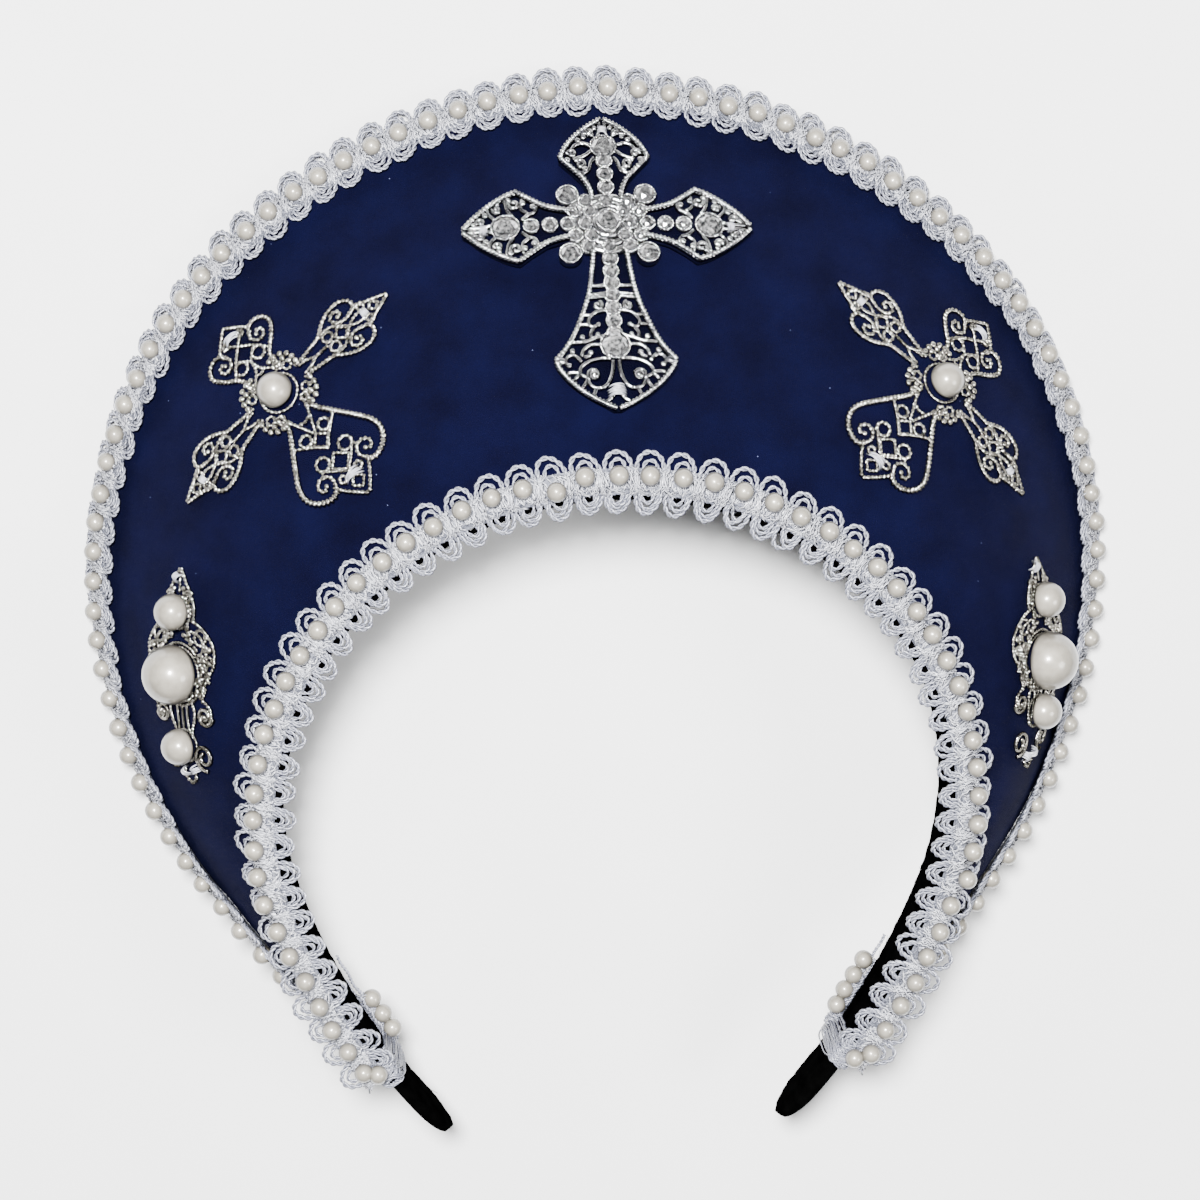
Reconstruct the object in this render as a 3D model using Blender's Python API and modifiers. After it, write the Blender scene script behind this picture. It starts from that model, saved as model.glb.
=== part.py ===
"""French hood: a velvet crescent on a covered headband, with pearl braid, crosses and side ornaments.

It lies on its back as it would on a table: the rim of the crescent on the surface, the face up.
Metres, +Z up, +Y towards the crown, +X to the right as seen from the front.
Shapes are worked out in the head frame, whose XY plane holds the front of the headband, and the
empty "head_plane" leans that frame back onto the resting surface. A turn is an angle in degrees
round the face, 0 at the crown and past 90 on the cheeks, positive on the right.
"""
import math
from collections import namedtuple

import bmesh
import bpy
from mathutils import Matrix, Vector

GAP = 0.0003
LEAN = 10.5
CENTRE = Vector((0.0, -0.0385, 0.04342))

# Headband: two arcs on each side of the crown
BAND_RADIUS = 0.0715
EAR_TURN = 108.0
CHEEK_RADIUS = 0.153
TIP_TURN = 132.0
BAND_THICK = 0.003
BAND_FRONT = -0.001
BAND_BACK = -0.013
BAND_TAPER = 0.010
BAND_STEPS = 45

# Crescent panel: thickness, and how far its rim reaches back at the crown
PANEL_THICK = 0.0022
PANEL_TOP_STEP = 0.0006
CROWN_DROP = 0.0660
PANEL_END = 120.5
PANEL_STEPS = 36
PANEL_ROWS = 5

# Braid: a strip with a row of pearls
BRAID_THICK = 0.0010
BRAID_WIDTH = 0.0140
BRAID_INSIDE = -0.0033
PEARL_PITCH = 0.00645
PEARL_RADIUS = 0.0021
PEARL_SINK = 0.0002
PEARL_BASE = 0.0005
PEARL_SIDES = 10
FACE_PEARLS = 57
RIM_STRING_RADIUS = 0.0020
RIM_STRING_POINTS = 48
RIM_STRING_END = 119.5
RIM_PEARL_INSET = 0.0020
RIM_LEAF = 0.0065
RIM_BACK_LEAF = 0.0042
RIM_TURN_OVER = 0.0005

# Bindings on the back edge of the band near its tips
BINDING_START = 112.5
BINDING_END = 122.3
BINDING_DEPTH = 0.0040
BINDING_STEPS = 5

# Ornaments: distances are from the band along the panel's front
ORNAMENT_LIFT = 0.0006
PLATE_CUT = 0.012
PEARL_LIFT = 0.0006
PLATE_THICK = 0.0013
CAST_THICK = 0.0024
DOME_BASE = 0.15
STONE_SIDES = 8

Section = namedtuple("Section", "turn reach rise lean_in lean_out")
SECTIONS = (
    Section(0.0, 0.0688, 0.0000, 34.0, 50.0),
    Section(15.0, 0.0670, 0.0000, 33.0, 50.0),
    Section(30.0, 0.0636, -0.0002, 31.0, 52.0),
    Section(45.0, 0.0584, -0.0004, 28.0, 56.0),
    Section(60.0, 0.0503, -0.0005, 26.0, 59.0),
    Section(75.0, 0.0407, -0.0005, 26.0, 61.0),
    Section(90.0, 0.0298, 0.0030, 30.0, 63.0),
    Section(103.0, 0.0195, 0.0104, 38.0, 68.0),
    Section(109.0, 0.0141, 0.0147, 44.0, 74.0),
    Section(113.0, 0.0094, 0.0170, 50.0, 84.0),
    Section(117.0, 0.0062, 0.0166, 54.0, 92.0),
    Section(121.0, 0.0060, 0.0154, 54.0, 92.0),
)

Anchor = namedtuple("Anchor", "turn distance spin")
CENTRE_CROSS = Anchor(0.5, 0.0562, 0.0)
LEFT_CROSS = Anchor(-38.4, 0.0443, 9.0)
RIGHT_CROSS = Anchor(40.1, 0.0446, -12.5)
LEFT_SIDE = Anchor(-72.5, 0.0255, -67.0)
RIGHT_SIDE = Anchor(74.9, 0.0263, 68.5)

# Outlines: half of an arm or plate, as distance along its axis and half width
Edge = namedtuple("Edge", "along half")
Hole = namedtuple("Hole", "along across length width")
Stone = namedtuple("Stone", "x y radius")

CAST_UP = (Edge(0.0072, 0.0031), Edge(0.0105, 0.0044), Edge(0.0160, 0.0091), Edge(0.0202, 0.0068),
           Edge(0.0234, 0.0036), Edge(0.0256, 0.0005))
CAST_SIDE = (Edge(0.0080, 0.0031), Edge(0.0125, 0.0043), Edge(0.0185, 0.0083), Edge(0.0232, 0.0060),
             Edge(0.0270, 0.0031), Edge(0.0298, 0.0005))
CAST_DOWN = (Edge(0.0087, 0.0034), Edge(0.0180, 0.0052), Edge(0.0255, 0.0078), Edge(0.0300, 0.0119),
             Edge(0.0346, 0.0098), Edge(0.0388, 0.0058), Edge(0.0421, 0.0005))
CAST_CROOK = 0.0105
CAST_STONES = (
    Stone(0.0, 0.0, 0.0024), Stone(0.0, 0.0188, 0.0025), Stone(-0.0210, 0.0, 0.0025),
    Stone(0.0210, 0.0, 0.0025), Stone(0.0, -0.0290, 0.0028),
    Stone(0.0068, 0.0064, 0.0024), Stone(-0.0068, 0.0064, 0.0024),
    Stone(0.0068, -0.0064, 0.0024), Stone(-0.0068, -0.0064, 0.0024),
)
CAST_HOLES_UP = (Hole(0.0148, 0.0052, 0.0022, 0.0014),)
CAST_HOLES_SIDE = (Hole(0.0170, 0.0049, 0.0022, 0.0013),)
CAST_HOLES_DOWN = (Hole(0.0235, 0.0049, 0.0034, 0.0014), Hole(0.0300, 0.0072, 0.0020, 0.0016))

WIRE_ARM = (Edge(0.0062, 0.0050), Edge(0.0098, 0.0030), Edge(0.0140, 0.0038), Edge(0.0164, 0.0066),
            Edge(0.0190, 0.0076), Edge(0.0220, 0.0074), Edge(0.0242, 0.0056), Edge(0.0238, 0.0034),
            Edge(0.0262, 0.0030), Edge(0.0296, 0.0003))
WIRE_HEAD = (Edge(0.0062, 0.0050), Edge(0.0088, 0.0030), Edge(0.0112, 0.0040), Edge(0.0130, 0.0078),
             Edge(0.0152, 0.0096), Edge(0.0180, 0.0090), Edge(0.0190, 0.0062), Edge(0.0186, 0.0036),
             Edge(0.0228, 0.0034))
WIRE_FOOT = (Edge(0.0062, 0.0050), Edge(0.0098, 0.0030), Edge(0.0150, 0.0036), Edge(0.0190, 0.0078),
             Edge(0.0220, 0.0102), Edge(0.0252, 0.0100), Edge(0.0266, 0.0070), Edge(0.0258, 0.0040),
             Edge(0.0312, 0.0036))
WIRE_ARM_HOLES = (Hole(0.0204, 0.0048, 0.0023, 0.0014), Hole(0.0262, 0.0, 0.0016, 0.0013),
                  Hole(0.0140, 0.0, 0.0030, 0.0015))
WIRE_HEAD_HOLES = (Hole(0.0156, 0.0062, 0.0019, 0.0020), Hole(0.0208, 0.0, 0.0012, 0.0017),
                   Hole(0.0122, 0.0, 0.0022, 0.0015))
WIRE_FOOT_HOLES = (Hole(0.0230, 0.0066, 0.0024, 0.0021), Hole(0.0285, 0.0, 0.0017, 0.0017),
                   Hole(0.0150, 0.0, 0.0034, 0.0016))

SIDE_PLATE = (Edge(0.0220, 0.0003), Edge(0.0192, 0.0020), Edge(0.0166, 0.0036), Edge(0.0110, 0.0042),
              Edge(0.0092, 0.0080), Edge(0.0062, 0.0103), Edge(0.0024, 0.0102), Edge(-0.0004, 0.0084),
              Edge(-0.0046, 0.0066), Edge(-0.0070, 0.0092), Edge(-0.0102, 0.0086),
              Edge(-0.0100, 0.0052), Edge(-0.0118, 0.0024), Edge(-0.0146, 0.0030),
              Edge(-0.0164, 0.0062), Edge(-0.0190, 0.0058), Edge(-0.0210, 0.0030),
              Edge(-0.0237, 0.0005))
SIDE_HOLES = (Hole(0.0052, 0.0076, 0.0024, 0.0013), Hole(-0.0086, 0.0068, 0.0011, 0.0010),
              Hole(-0.0176, 0.0036, 0.0014, 0.0012))
SIDE_TOP_PEARL = 0.0129
LEFT_LOW_PEARL = -0.0152
RIGHT_LOW_PEARL = -0.0109
BIG_PEARL = 0.0063
MIDDLE_PEARL = 0.0039
CROSS_PEARL = 0.0038

COLOURS = {
    "velvet": ((0.008, 0.012, 0.050), 0.90, 0.0),
    "band_cloth": ((0.006, 0.006, 0.007), 0.85, 0.0),
    "braid": ((0.80, 0.79, 0.80), 0.55, 0.0),
    "pearl": ((0.82, 0.76, 0.70), 0.22, 0.0),
    "antique_silver": ((0.42, 0.40, 0.36), 0.38, 1.0),
    "bright_silver": ((0.80, 0.80, 0.82), 0.20, 1.0),
}


class Kit:
    """The collections, the leaning empty and the materials that every piece shares."""

    def __init__(self):
        self.parts = self.collection("french_hood")
        self.cutters = self.collection("cutters")
        self.cutters.hide_render = True
        self.head = bpy.data.objects.new("head_plane", None)
        self.head.location = CENTRE
        self.head.rotation_euler.x = math.radians(LEAN)
        self.parts.objects.link(self.head)
        self.materials = {name: make_material(name, *look) for name, look in COLOURS.items()}

    def collection(self, name):
        made = bpy.data.collections.new(name)
        bpy.context.scene.collection.children.link(made)
        return made

    def add(self, name, mesh, material):
        mesh.materials.append(self.materials[material])
        mesh.shade_smooth()
        mesh.set_sharp_from_angle(angle=math.radians(35.0))
        thing = bpy.data.objects.new(name, mesh)
        thing.parent = self.head
        self.parts.objects.link(thing)
        return thing

    def add_cutter(self, name, mesh):
        thing = bpy.data.objects.new(name, mesh)
        thing.parent = self.head
        thing.hide_render = True
        thing.display_type = "WIRE"
        self.cutters.objects.link(thing)
        return thing


def make_material(name, colour, roughness, metallic):
    material = bpy.data.materials.new(name)
    material.use_nodes = True
    shader = material.node_tree.nodes["Principled BSDF"]
    shader.inputs["Base Color"].default_value = (*colour, 1.0)
    shader.inputs["Roughness"].default_value = roughness
    shader.inputs["Metallic"].default_value = metallic
    return material


def hermite(a, b, slope_a, slope_b, t):
    """Cubic from a to b, with its slopes per unit of t."""
    t2, t3 = t * t, t * t * t
    return ((2 * t3 - 3 * t2 + 1) * a + (t3 - 2 * t2 + t) * slope_a
            + (3 * t2 - 2 * t3) * b + (t3 - t2) * slope_b)


def section_at(turn):
    """The section at a turn, smooth between the table's rows and the same on both sides."""
    turn = min(abs(turn), SECTIONS[-1].turn)
    rows = (SECTIONS[1]._replace(turn=-SECTIONS[1].turn),) + SECTIONS + (SECTIONS[-1],)
    low = 1
    while low < len(rows) - 3 and rows[low + 1].turn < turn:
        low += 1
    before, start, end, after = rows[low - 1:low + 3]
    span = end.turn - start.turn
    values = []
    for name in Section._fields[1:]:
        y = [getattr(row, name) for row in (before, start, end, after)]
        slope_start = (y[2] - y[0]) / (end.turn - before.turn) * span
        slope_end = (y[3] - y[1]) / (after.turn - start.turn) * span
        values.append(hermite(y[1], y[2], slope_start, slope_end, (turn - start.turn) / span))
    return Section(turn, *values)


def turn_at(length):
    """Turn at a length along the band's centre line from the crown."""
    bend = min(abs(length) / BAND_RADIUS, math.radians(EAR_TURN))
    rest = (abs(length) - bend * BAND_RADIUS) / CHEEK_RADIUS
    return math.copysign(math.degrees(bend + rest), length)


def length_at(turn):
    """Length along the band's centre line from the crown to a turn past the ear."""
    return math.radians(EAR_TURN) * BAND_RADIUS + math.radians(turn - EAR_TURN) * CHEEK_RADIUS


def panel_turn(step):
    """Turn at a step of the panel, whose steps are equally long on the band."""
    return turn_at((step / PANEL_STEPS * 2 - 1) * length_at(PANEL_END))


def in_head(turn, offset, height):
    """Head-frame point at a turn, an outward offset from the band's centre line and a height."""
    angle, ear = math.radians(abs(turn)), math.radians(EAR_TURN)
    out = Vector((math.sin(angle), math.cos(angle), 0.0))
    if abs(turn) <= EAR_TURN:
        point = out * (BAND_RADIUS + offset)
    else:
        cheek_centre = Vector((math.sin(ear), math.cos(ear), 0.0)) * (BAND_RADIUS - CHEEK_RADIUS)
        point = cheek_centre + out * (CHEEK_RADIUS + offset)
    return Vector((math.copysign(point.x, turn), point.y, height))


def profile(turn):
    """The panel's front at a turn: start and end as offset and height, their leans and chord."""
    section = section_at(turn)
    lean_in, lean_out = math.radians(section.lean_in), math.radians(section.lean_out)
    start = Vector((BAND_THICK / 2 + 2 * GAP + PANEL_THICK * math.sin(lean_in),
                    BAND_FRONT - PANEL_TOP_STEP))
    crown_y = BAND_RADIUS + SECTIONS[0].reach
    edge_y = in_head(turn, section.reach, 0.0).y
    drop = CROWN_DROP - (crown_y - edge_y) * math.tan(math.radians(LEAN)) - section.rise
    end = Vector((section.reach, -drop))
    return start, end, lean_in, lean_out, (end - start).length


def panel_point(turn, distance, lift=0.0):
    """Point on the panel's front at a distance from the band, lifted along the normal.

    Past the rim it runs straight on.
    """
    start, end, lean_in, lean_out, chord = profile(turn)
    share = min(max(distance / chord, 0.0), 1.0)
    slopes = [Vector((math.cos(lean), -math.sin(lean))) * chord for lean in (lean_in, lean_out)]
    here = hermite(start, end, *slopes, share)
    along = (hermite(start, end, *slopes, share + 0.001) - here).normalized()
    normal = Vector((-along.y, along.x))
    here += along * (distance - share * chord) + normal * lift
    return in_head(turn, here.x, here.y)


def rim_point(turn, inset=0.0, lift=0.0):
    """Point on the panel's front at an inset from its rim."""
    return panel_point(turn, profile(turn)[-1] - inset, lift)


def turns_at(curve, lengths):
    """Turns at which a curve, given as turn to point, has run the lengths, with their signs."""
    step = 0.25
    turns, run, last = [0.0], [0.0], curve(0.0)
    while turns[-1] < PANEL_END + 2.0:
        point = curve(turns[-1] + step)
        run.append(run[-1] + (point - last).length)
        turns.append(turns[-1] + step)
        last = point
    found = []
    for length in lengths:
        place = next((i for i, r in enumerate(run) if r >= abs(length)), len(run) - 1)
        before = max(place - 1, 0)
        share = (abs(length) - run[before]) / max(run[place] - run[before], 1e-9)
        turn = turns[before] + min(share, 1.0) * (turns[place] - turns[before])
        found.append(math.copysign(turn, length))
    return found


def grid_mesh(name, steps, rows, place):
    """A grid of steps by rows whose points are place(step, row)."""
    grid = bmesh.new()
    bmesh.ops.create_grid(grid, x_segments=steps, y_segments=rows, size=0.5)
    for vert in grid.verts:
        vert.co = place(round((vert.co.x + 0.5) * steps), round((vert.co.y + 0.5) * rows))
    mesh = bpy.data.meshes.new(name)
    grid.to_mesh(mesh)
    grid.free()
    return mesh


def thicken(thing, thick, side):
    """Gives an open surface its thickness: side 1 along its normals, -1 against, 0 half each."""
    solid = thing.modifiers.new("thickness", "SOLIDIFY")
    solid.thickness = thick
    solid.offset = side
    solid.use_even_offset = True
    solid.use_quality_normals = True


def join(thing, other):
    union = thing.modifiers.new("pearls", "BOOLEAN")
    union.operation = "UNION"
    union.solver = "EXACT"
    union.object = other


def upright(point, pole):
    """The transform that stands a shape at a point with its +Z along the pole."""
    turn = Vector((0.0, 0.0, 1.0)).rotation_difference(pole).to_matrix().to_4x4()
    return Matrix.Translation(point) @ turn


def bead_mesh(name, places):
    """One mesh of half beads at the places, each with the direction that its pole points."""
    beads = bmesh.new()
    for centre, pole in places:
        verts = bmesh.ops.create_uvsphere(beads, u_segments=PEARL_SIDES, v_segments=4,
                                          radius=PEARL_RADIUS)["verts"]
        low = [vert for vert in verts if vert.co.z < -PEARL_RADIUS / 2]
        half = [vert for vert in verts if vert.co.z >= -PEARL_RADIUS / 2]
        bmesh.ops.delete(beads, geom=low, context="VERTS")
        for vert in half:
            if vert.co.z < PEARL_RADIUS / 2:
                vert.co.z = -PEARL_BASE
        bmesh.ops.transform(beads, matrix=upright(centre, pole), verts=half)
    bmesh.ops.holes_fill(beads, edges=beads.edges, sides=0)
    mesh = bpy.data.meshes.new(name)
    beads.to_mesh(mesh)
    beads.free()
    return mesh


def make_headband(kit):
    half_length = length_at(TIP_TURN)
    middle, half = (BAND_FRONT + BAND_BACK) / 2, (BAND_FRONT - BAND_BACK) / 2

    def place(step, row):
        length = (step / BAND_STEPS * 2 - 1) * half_length
        taper = max(0.0, 1.0 - (half_length - abs(length)) / BAND_TAPER)
        width = half * math.sqrt(1.0 - 0.9 * taper * taper)
        return in_head(turn_at(length), 0.0, middle + (row * 2 - 1) * width)

    thing = kit.add("headband", grid_mesh("headband", BAND_STEPS, 1, place), "band_cloth")
    thicken(thing, BAND_THICK, 0.0)


def make_panel(kit):
    def place(step, row):
        turn = panel_turn(step)
        return panel_point(turn, row / PANEL_ROWS * profile(turn)[-1])

    mesh = grid_mesh("crescent_panel", PANEL_STEPS, PANEL_ROWS, place)
    thing = kit.add("crescent_panel", mesh, "velvet")
    thicken(thing, PANEL_THICK, -1.0)


def face_braid_point(turn, across, lift):
    """Point on the face braid: flat over the band's front edge, then down on the panel."""
    start = profile(turn)[0]
    flat = start.x - BRAID_INSIDE
    if across <= flat:
        return in_head(turn, BRAID_INSIDE + across, BAND_FRONT + GAP + lift)
    return panel_point(turn, across - flat, GAP + lift)


def make_face_trim(kit):
    lengths = [(i - (FACE_PEARLS - 1) / 2) * PEARL_PITCH for i in range(FACE_PEARLS)]

    def pearl_line(turn):
        return face_braid_point(turn, BRAID_WIDTH / 2, 0.0)

    edges = turns_at(pearl_line, [(i - FACE_PEARLS / 2) * PEARL_PITCH
                                  for i in range(FACE_PEARLS + 1)])

    def place(step, row):
        turn = edges[step]
        flat = profile(turn)[0].x - BRAID_INSIDE
        stops = (0.0, flat, flat + (BRAID_WIDTH - flat) * 0.45, BRAID_WIDTH)
        return face_braid_point(turn, stops[row], 0.0)

    thing = kit.add("face_trim", grid_mesh("face_trim", FACE_PEARLS, 3, place), "braid")
    thicken(thing, BRAID_THICK, 1.0)
    places = []
    for turn in turns_at(pearl_line, lengths):
        low = face_braid_point(turn, BRAID_WIDTH / 2, 0.0)
        centre = face_braid_point(turn, BRAID_WIDTH / 2, BRAID_THICK - PEARL_SINK)
        places.append((centre, (centre - low).normalized()))
    join(thing, kit.add_cutter("face_pearls", bead_mesh("face_pearls", places)))


def make_rim_trim(kit):
    def place(step, row):
        turn = panel_turn(step)
        leaf = min(RIM_LEAF, profile(turn)[-1] - BRAID_WIDTH + BRAID_INSIDE + 0.0078)
        front, back = 2 * GAP, -PANEL_THICK - 2 * GAP
        stops = ((leaf, front), (RIM_PEARL_INSET, front), (-RIM_TURN_OVER, front),
                 (-RIM_TURN_OVER, back), (RIM_BACK_LEAF, back))
        return rim_point(turn, *stops[row])

    thing = kit.add("rim_trim", grid_mesh("rim_trim", PANEL_STEPS, 4, place), "braid")
    thicken(thing, BRAID_THICK, 1.0)


def make_rim_string(kit):
    """The string of pearls along the rim, as the tube that its pearls fill."""
    curve = bpy.data.curves.new("rim_pearls", "CURVE")
    curve.dimensions = "3D"
    curve.bevel_depth = RIM_STRING_RADIUS
    curve.bevel_resolution = 1
    curve.use_fill_caps = True
    spline = curve.splines.new("POLY")
    spline.points.add(RIM_STRING_POINTS)
    lift = 3 * GAP + BRAID_THICK + RIM_STRING_RADIUS
    for i, point in enumerate(spline.points):
        turn = (i / RIM_STRING_POINTS * 2 - 1) * RIM_STRING_END
        point.co = (*rim_point(turn, RIM_PEARL_INSET, lift), 1.0)
    curve.materials.append(kit.materials["pearl"])
    thing = bpy.data.objects.new("rim_pearls", curve)
    thing.parent = kit.head
    kit.parts.objects.link(thing)


def make_binding(kit, name, side):
    """The end of the rim braid, turned over the back edge of the band to its inner face."""
    inner, back = -BAND_THICK / 2 - GAP, BAND_BACK - GAP
    corners = ((BAND_THICK / 2 - GAP, back), (inner, back), (inner, back + BINDING_DEPTH))

    def place(step, row):
        turn = side * (BINDING_START + (BINDING_END - BINDING_START) * step / BINDING_STEPS)
        return in_head(turn, *corners[row])

    thing = kit.add(name, grid_mesh(name, BINDING_STEPS, 2, place), "braid")
    thicken(thing, BRAID_THICK, 1.0 if side > 0 else -1.0)


class Seat:
    """A place on the panel whose flat drawing plane is wrapped down onto the panel's front."""

    def __init__(self, anchor):
        self.turn, self.distance = anchor.turn, anchor.distance
        self.origin = panel_point(self.turn, self.distance)
        self.along = (panel_point(self.turn + 0.5, self.distance)
                      - panel_point(self.turn - 0.5, self.distance)).normalized()
        out = (panel_point(self.turn, self.distance + 0.0005)
               - panel_point(self.turn, self.distance - 0.0005)).normalized()
        self.normal = self.along.cross(out).normalized()
        self.out = self.normal.cross(self.along)
        self.spin = Matrix.Rotation(math.radians(anchor.spin), 2)

    def point(self, x, y, lift):
        """The point over drawing position x, y, lifted from the panel."""
        goal = self.spin @ Vector((x, y))
        turn, distance = self.turn, self.distance
        for _ in range(6):
            miss = panel_point(turn, distance) - self.origin
            turn += math.degrees((goal.x - miss.dot(self.along)) / (BAND_RADIUS + distance * 0.7))
            distance += goal.y - miss.dot(self.out)
        return panel_point(turn, distance, lift)


def ring_points(centre, length, width, sides, angle=0.0):
    points = []
    for i in range(sides):
        bend = math.tau * (i + 0.5) / sides
        spot = Matrix.Rotation(angle, 2) @ Vector((length * math.cos(bend), width * math.sin(bend)))
        points.append(centre + spot)
    return points


def flat_plate(name, outlines, thick):
    """A flat plate from a 2D curve, its first outline the edge and the others holes.

    Its long edges are cut, so that it can bend.
    """
    curve = bpy.data.curves.new(name, "CURVE")
    curve.dimensions = "2D"
    curve.fill_mode = "BOTH"
    curve.extrude = thick / 2
    for outline in outlines:
        spline = curve.splines.new("POLY")
        spline.points.add(len(outline) - 1)
        spline.use_cyclic_u = True
        for point, spot in zip(spline.points, outline):
            point.co = (spot.x, spot.y, 0.0, 1.0)
    thing = bpy.data.objects.new(name, curve)
    bpy.context.scene.collection.objects.link(thing)
    bpy.context.view_layer.update()
    evaluated = thing.evaluated_get(bpy.context.evaluated_depsgraph_get())
    mesh = bpy.data.meshes.new_from_object(evaluated)
    bpy.data.objects.remove(thing)
    shape = bmesh.new()
    shape.from_mesh(mesh)
    bmesh.ops.remove_doubles(shape, verts=shape.verts, dist=0.00001)
    for axis in (Vector((1.0, 0.0, 0.0)), Vector((0.0, 1.0, 0.0))):
        for i in range(-3, 3):
            geom = {face for face in shape.faces
                    if max(edge.calc_length() for edge in face.edges) > PLATE_CUT}
            geom |= {part for face in geom for part in (*face.edges, *face.verts)}
            bmesh.ops.bisect_plane(shape, geom=list(geom), plane_no=axis,
                                   plane_co=axis * (i + 0.5) * PLATE_CUT)
    bmesh.ops.remove_doubles(shape, verts=shape.verts, dist=0.0001)
    bmesh.ops.triangulate(shape, faces=shape.faces)
    bmesh.ops.dissolve_degenerate(shape, edges=shape.edges, dist=0.00002)
    bmesh.ops.triangulate(shape, faces=shape.faces)
    shape.to_mesh(mesh)
    shape.free()
    return mesh


def wrap(mesh, seat, thick):
    """Moves a flat plate's points onto the panel, its back just clear of the velvet."""
    for vert in mesh.vertices:
        vert.co = seat.point(vert.co.x, vert.co.y, ORNAMENT_LIFT + thick / 2 + vert.co.z)


def cross_outlines(arms, crook, bore):
    """Outline and holes of a cross: arms are (edges, holes) for up, right, down and left."""
    outline, holes = [], []
    for i, (edges, arm_holes) in enumerate(arms):
        axis = Vector((math.sin(i * math.pi / 2), math.cos(i * math.pi / 2)))
        across = Vector((axis.y, -axis.x))
        outline += [axis * edge.along - across * edge.half for edge in edges]
        outline += [axis * edge.along + across * edge.half for edge in reversed(edges)]
        if crook:
            outline.append((axis + across) * crook / math.sqrt(2.0))
        for hole in arm_holes:
            for side in (1, -1) if hole.across else (1,):
                centre = axis * hole.along + across * hole.across * side
                angle = math.atan2(axis.y, axis.x)
                holes.append(ring_points(centre, hole.length, hole.width, bore, angle))
    return [outline] + holes


def make_centre_cross(kit):
    """The cast cross, one piece with its nine main stones."""
    seat = Seat(CENTRE_CROSS)
    arms = ((CAST_UP, CAST_HOLES_UP), (CAST_SIDE, CAST_HOLES_SIDE), (CAST_DOWN, CAST_HOLES_DOWN),
            (CAST_SIDE, CAST_HOLES_SIDE))
    mesh = flat_plate("centre_cross", cross_outlines(arms, CAST_CROOK, 6), CAST_THICK)
    wrap(mesh, seat, CAST_THICK)
    thing = kit.add("centre_cross", mesh, "bright_silver")
    stones = bmesh.new()
    for stone in CAST_STONES:
        low = seat.point(stone.x, stone.y, ORNAMENT_LIFT + CAST_THICK * 0.5)
        high = seat.point(stone.x, stone.y, ORNAMENT_LIFT + CAST_THICK + stone.radius * 0.55)
        bmesh.ops.create_cone(stones, cap_ends=True, segments=STONE_SIDES,
                              radius1=stone.radius * 1.15, radius2=stone.radius * 0.6,
                              depth=(high - low).length,
                              matrix=upright((low + high) / 2, high - low))
    mesh = bpy.data.meshes.new("cross_stones")
    stones.to_mesh(mesh)
    stones.free()
    join(thing, kit.add_cutter("cross_stones", mesh))


def make_pearl(kit, name, seat, x, y, radius):
    """A flat-backed pearl, seated on its plate."""
    foot = seat.point(x, y, ORNAMENT_LIFT + PLATE_THICK + PEARL_LIFT)
    above = seat.point(x, y, ORNAMENT_LIFT + PLATE_THICK + PEARL_LIFT + radius)
    ball = bmesh.new()
    bmesh.ops.create_uvsphere(ball, u_segments=12, v_segments=8, radius=radius)
    for vert in ball.verts:
        vert.co.z = max(vert.co.z, -radius * DOME_BASE)
    bmesh.ops.remove_doubles(ball, verts=ball.verts, dist=radius * 0.02)
    rim = [v for v in ball.verts if v.co.z < -radius * DOME_BASE * 0.99]
    inner = [v for v in rim if math.hypot(v.co.x, v.co.y) < radius * 0.9]
    bmesh.ops.dissolve_verts(ball, verts=inner)
    bmesh.ops.translate(ball, verts=ball.verts, vec=(0.0, 0.0, radius * DOME_BASE))
    bmesh.ops.transform(ball, matrix=upright(foot, above - foot), verts=ball.verts)
    mesh = bpy.data.meshes.new(name)
    ball.to_mesh(mesh)
    ball.free()
    kit.add(name, mesh, "pearl")


def make_filigree_cross(kit, side, anchor):
    seat = Seat(anchor)
    arms = ((WIRE_HEAD, WIRE_HEAD_HOLES), (WIRE_ARM, WIRE_ARM_HOLES), (WIRE_FOOT, WIRE_FOOT_HOLES),
            (WIRE_ARM, WIRE_ARM_HOLES))
    name = "filigree_cross_" + side
    mesh = flat_plate(name, cross_outlines(arms, 0.0, 5), PLATE_THICK)
    wrap(mesh, seat, PLATE_THICK)
    kit.add(name, mesh, "antique_silver")
    make_pearl(kit, "cross_pearl_" + side, seat, 0.0, 0.0, CROSS_PEARL)


def make_side_ornament(kit, side, anchor, low_pearl):
    seat = Seat(anchor)
    name = "side_filigree_" + side
    outline = [Vector((-edge.half, edge.along)) for edge in SIDE_PLATE]
    outline += [Vector((edge.half, edge.along)) for edge in reversed(SIDE_PLATE)]
    holes = [ring_points(Vector((hole.across * flank, hole.along)), hole.width, hole.length, 6)
             for hole in SIDE_HOLES for flank in (-1, 1)]
    mesh = flat_plate(name, [outline] + holes, PLATE_THICK)
    wrap(mesh, seat, PLATE_THICK)
    kit.add(name, mesh, "antique_silver")
    make_pearl(kit, "side_pearl_top_" + side, seat, 0.0, SIDE_TOP_PEARL, MIDDLE_PEARL)
    make_pearl(kit, "side_pearl_big_" + side, seat, 0.0, 0.0, BIG_PEARL)
    make_pearl(kit, "side_pearl_low_" + side, seat, 0.0, low_pearl, MIDDLE_PEARL)


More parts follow.
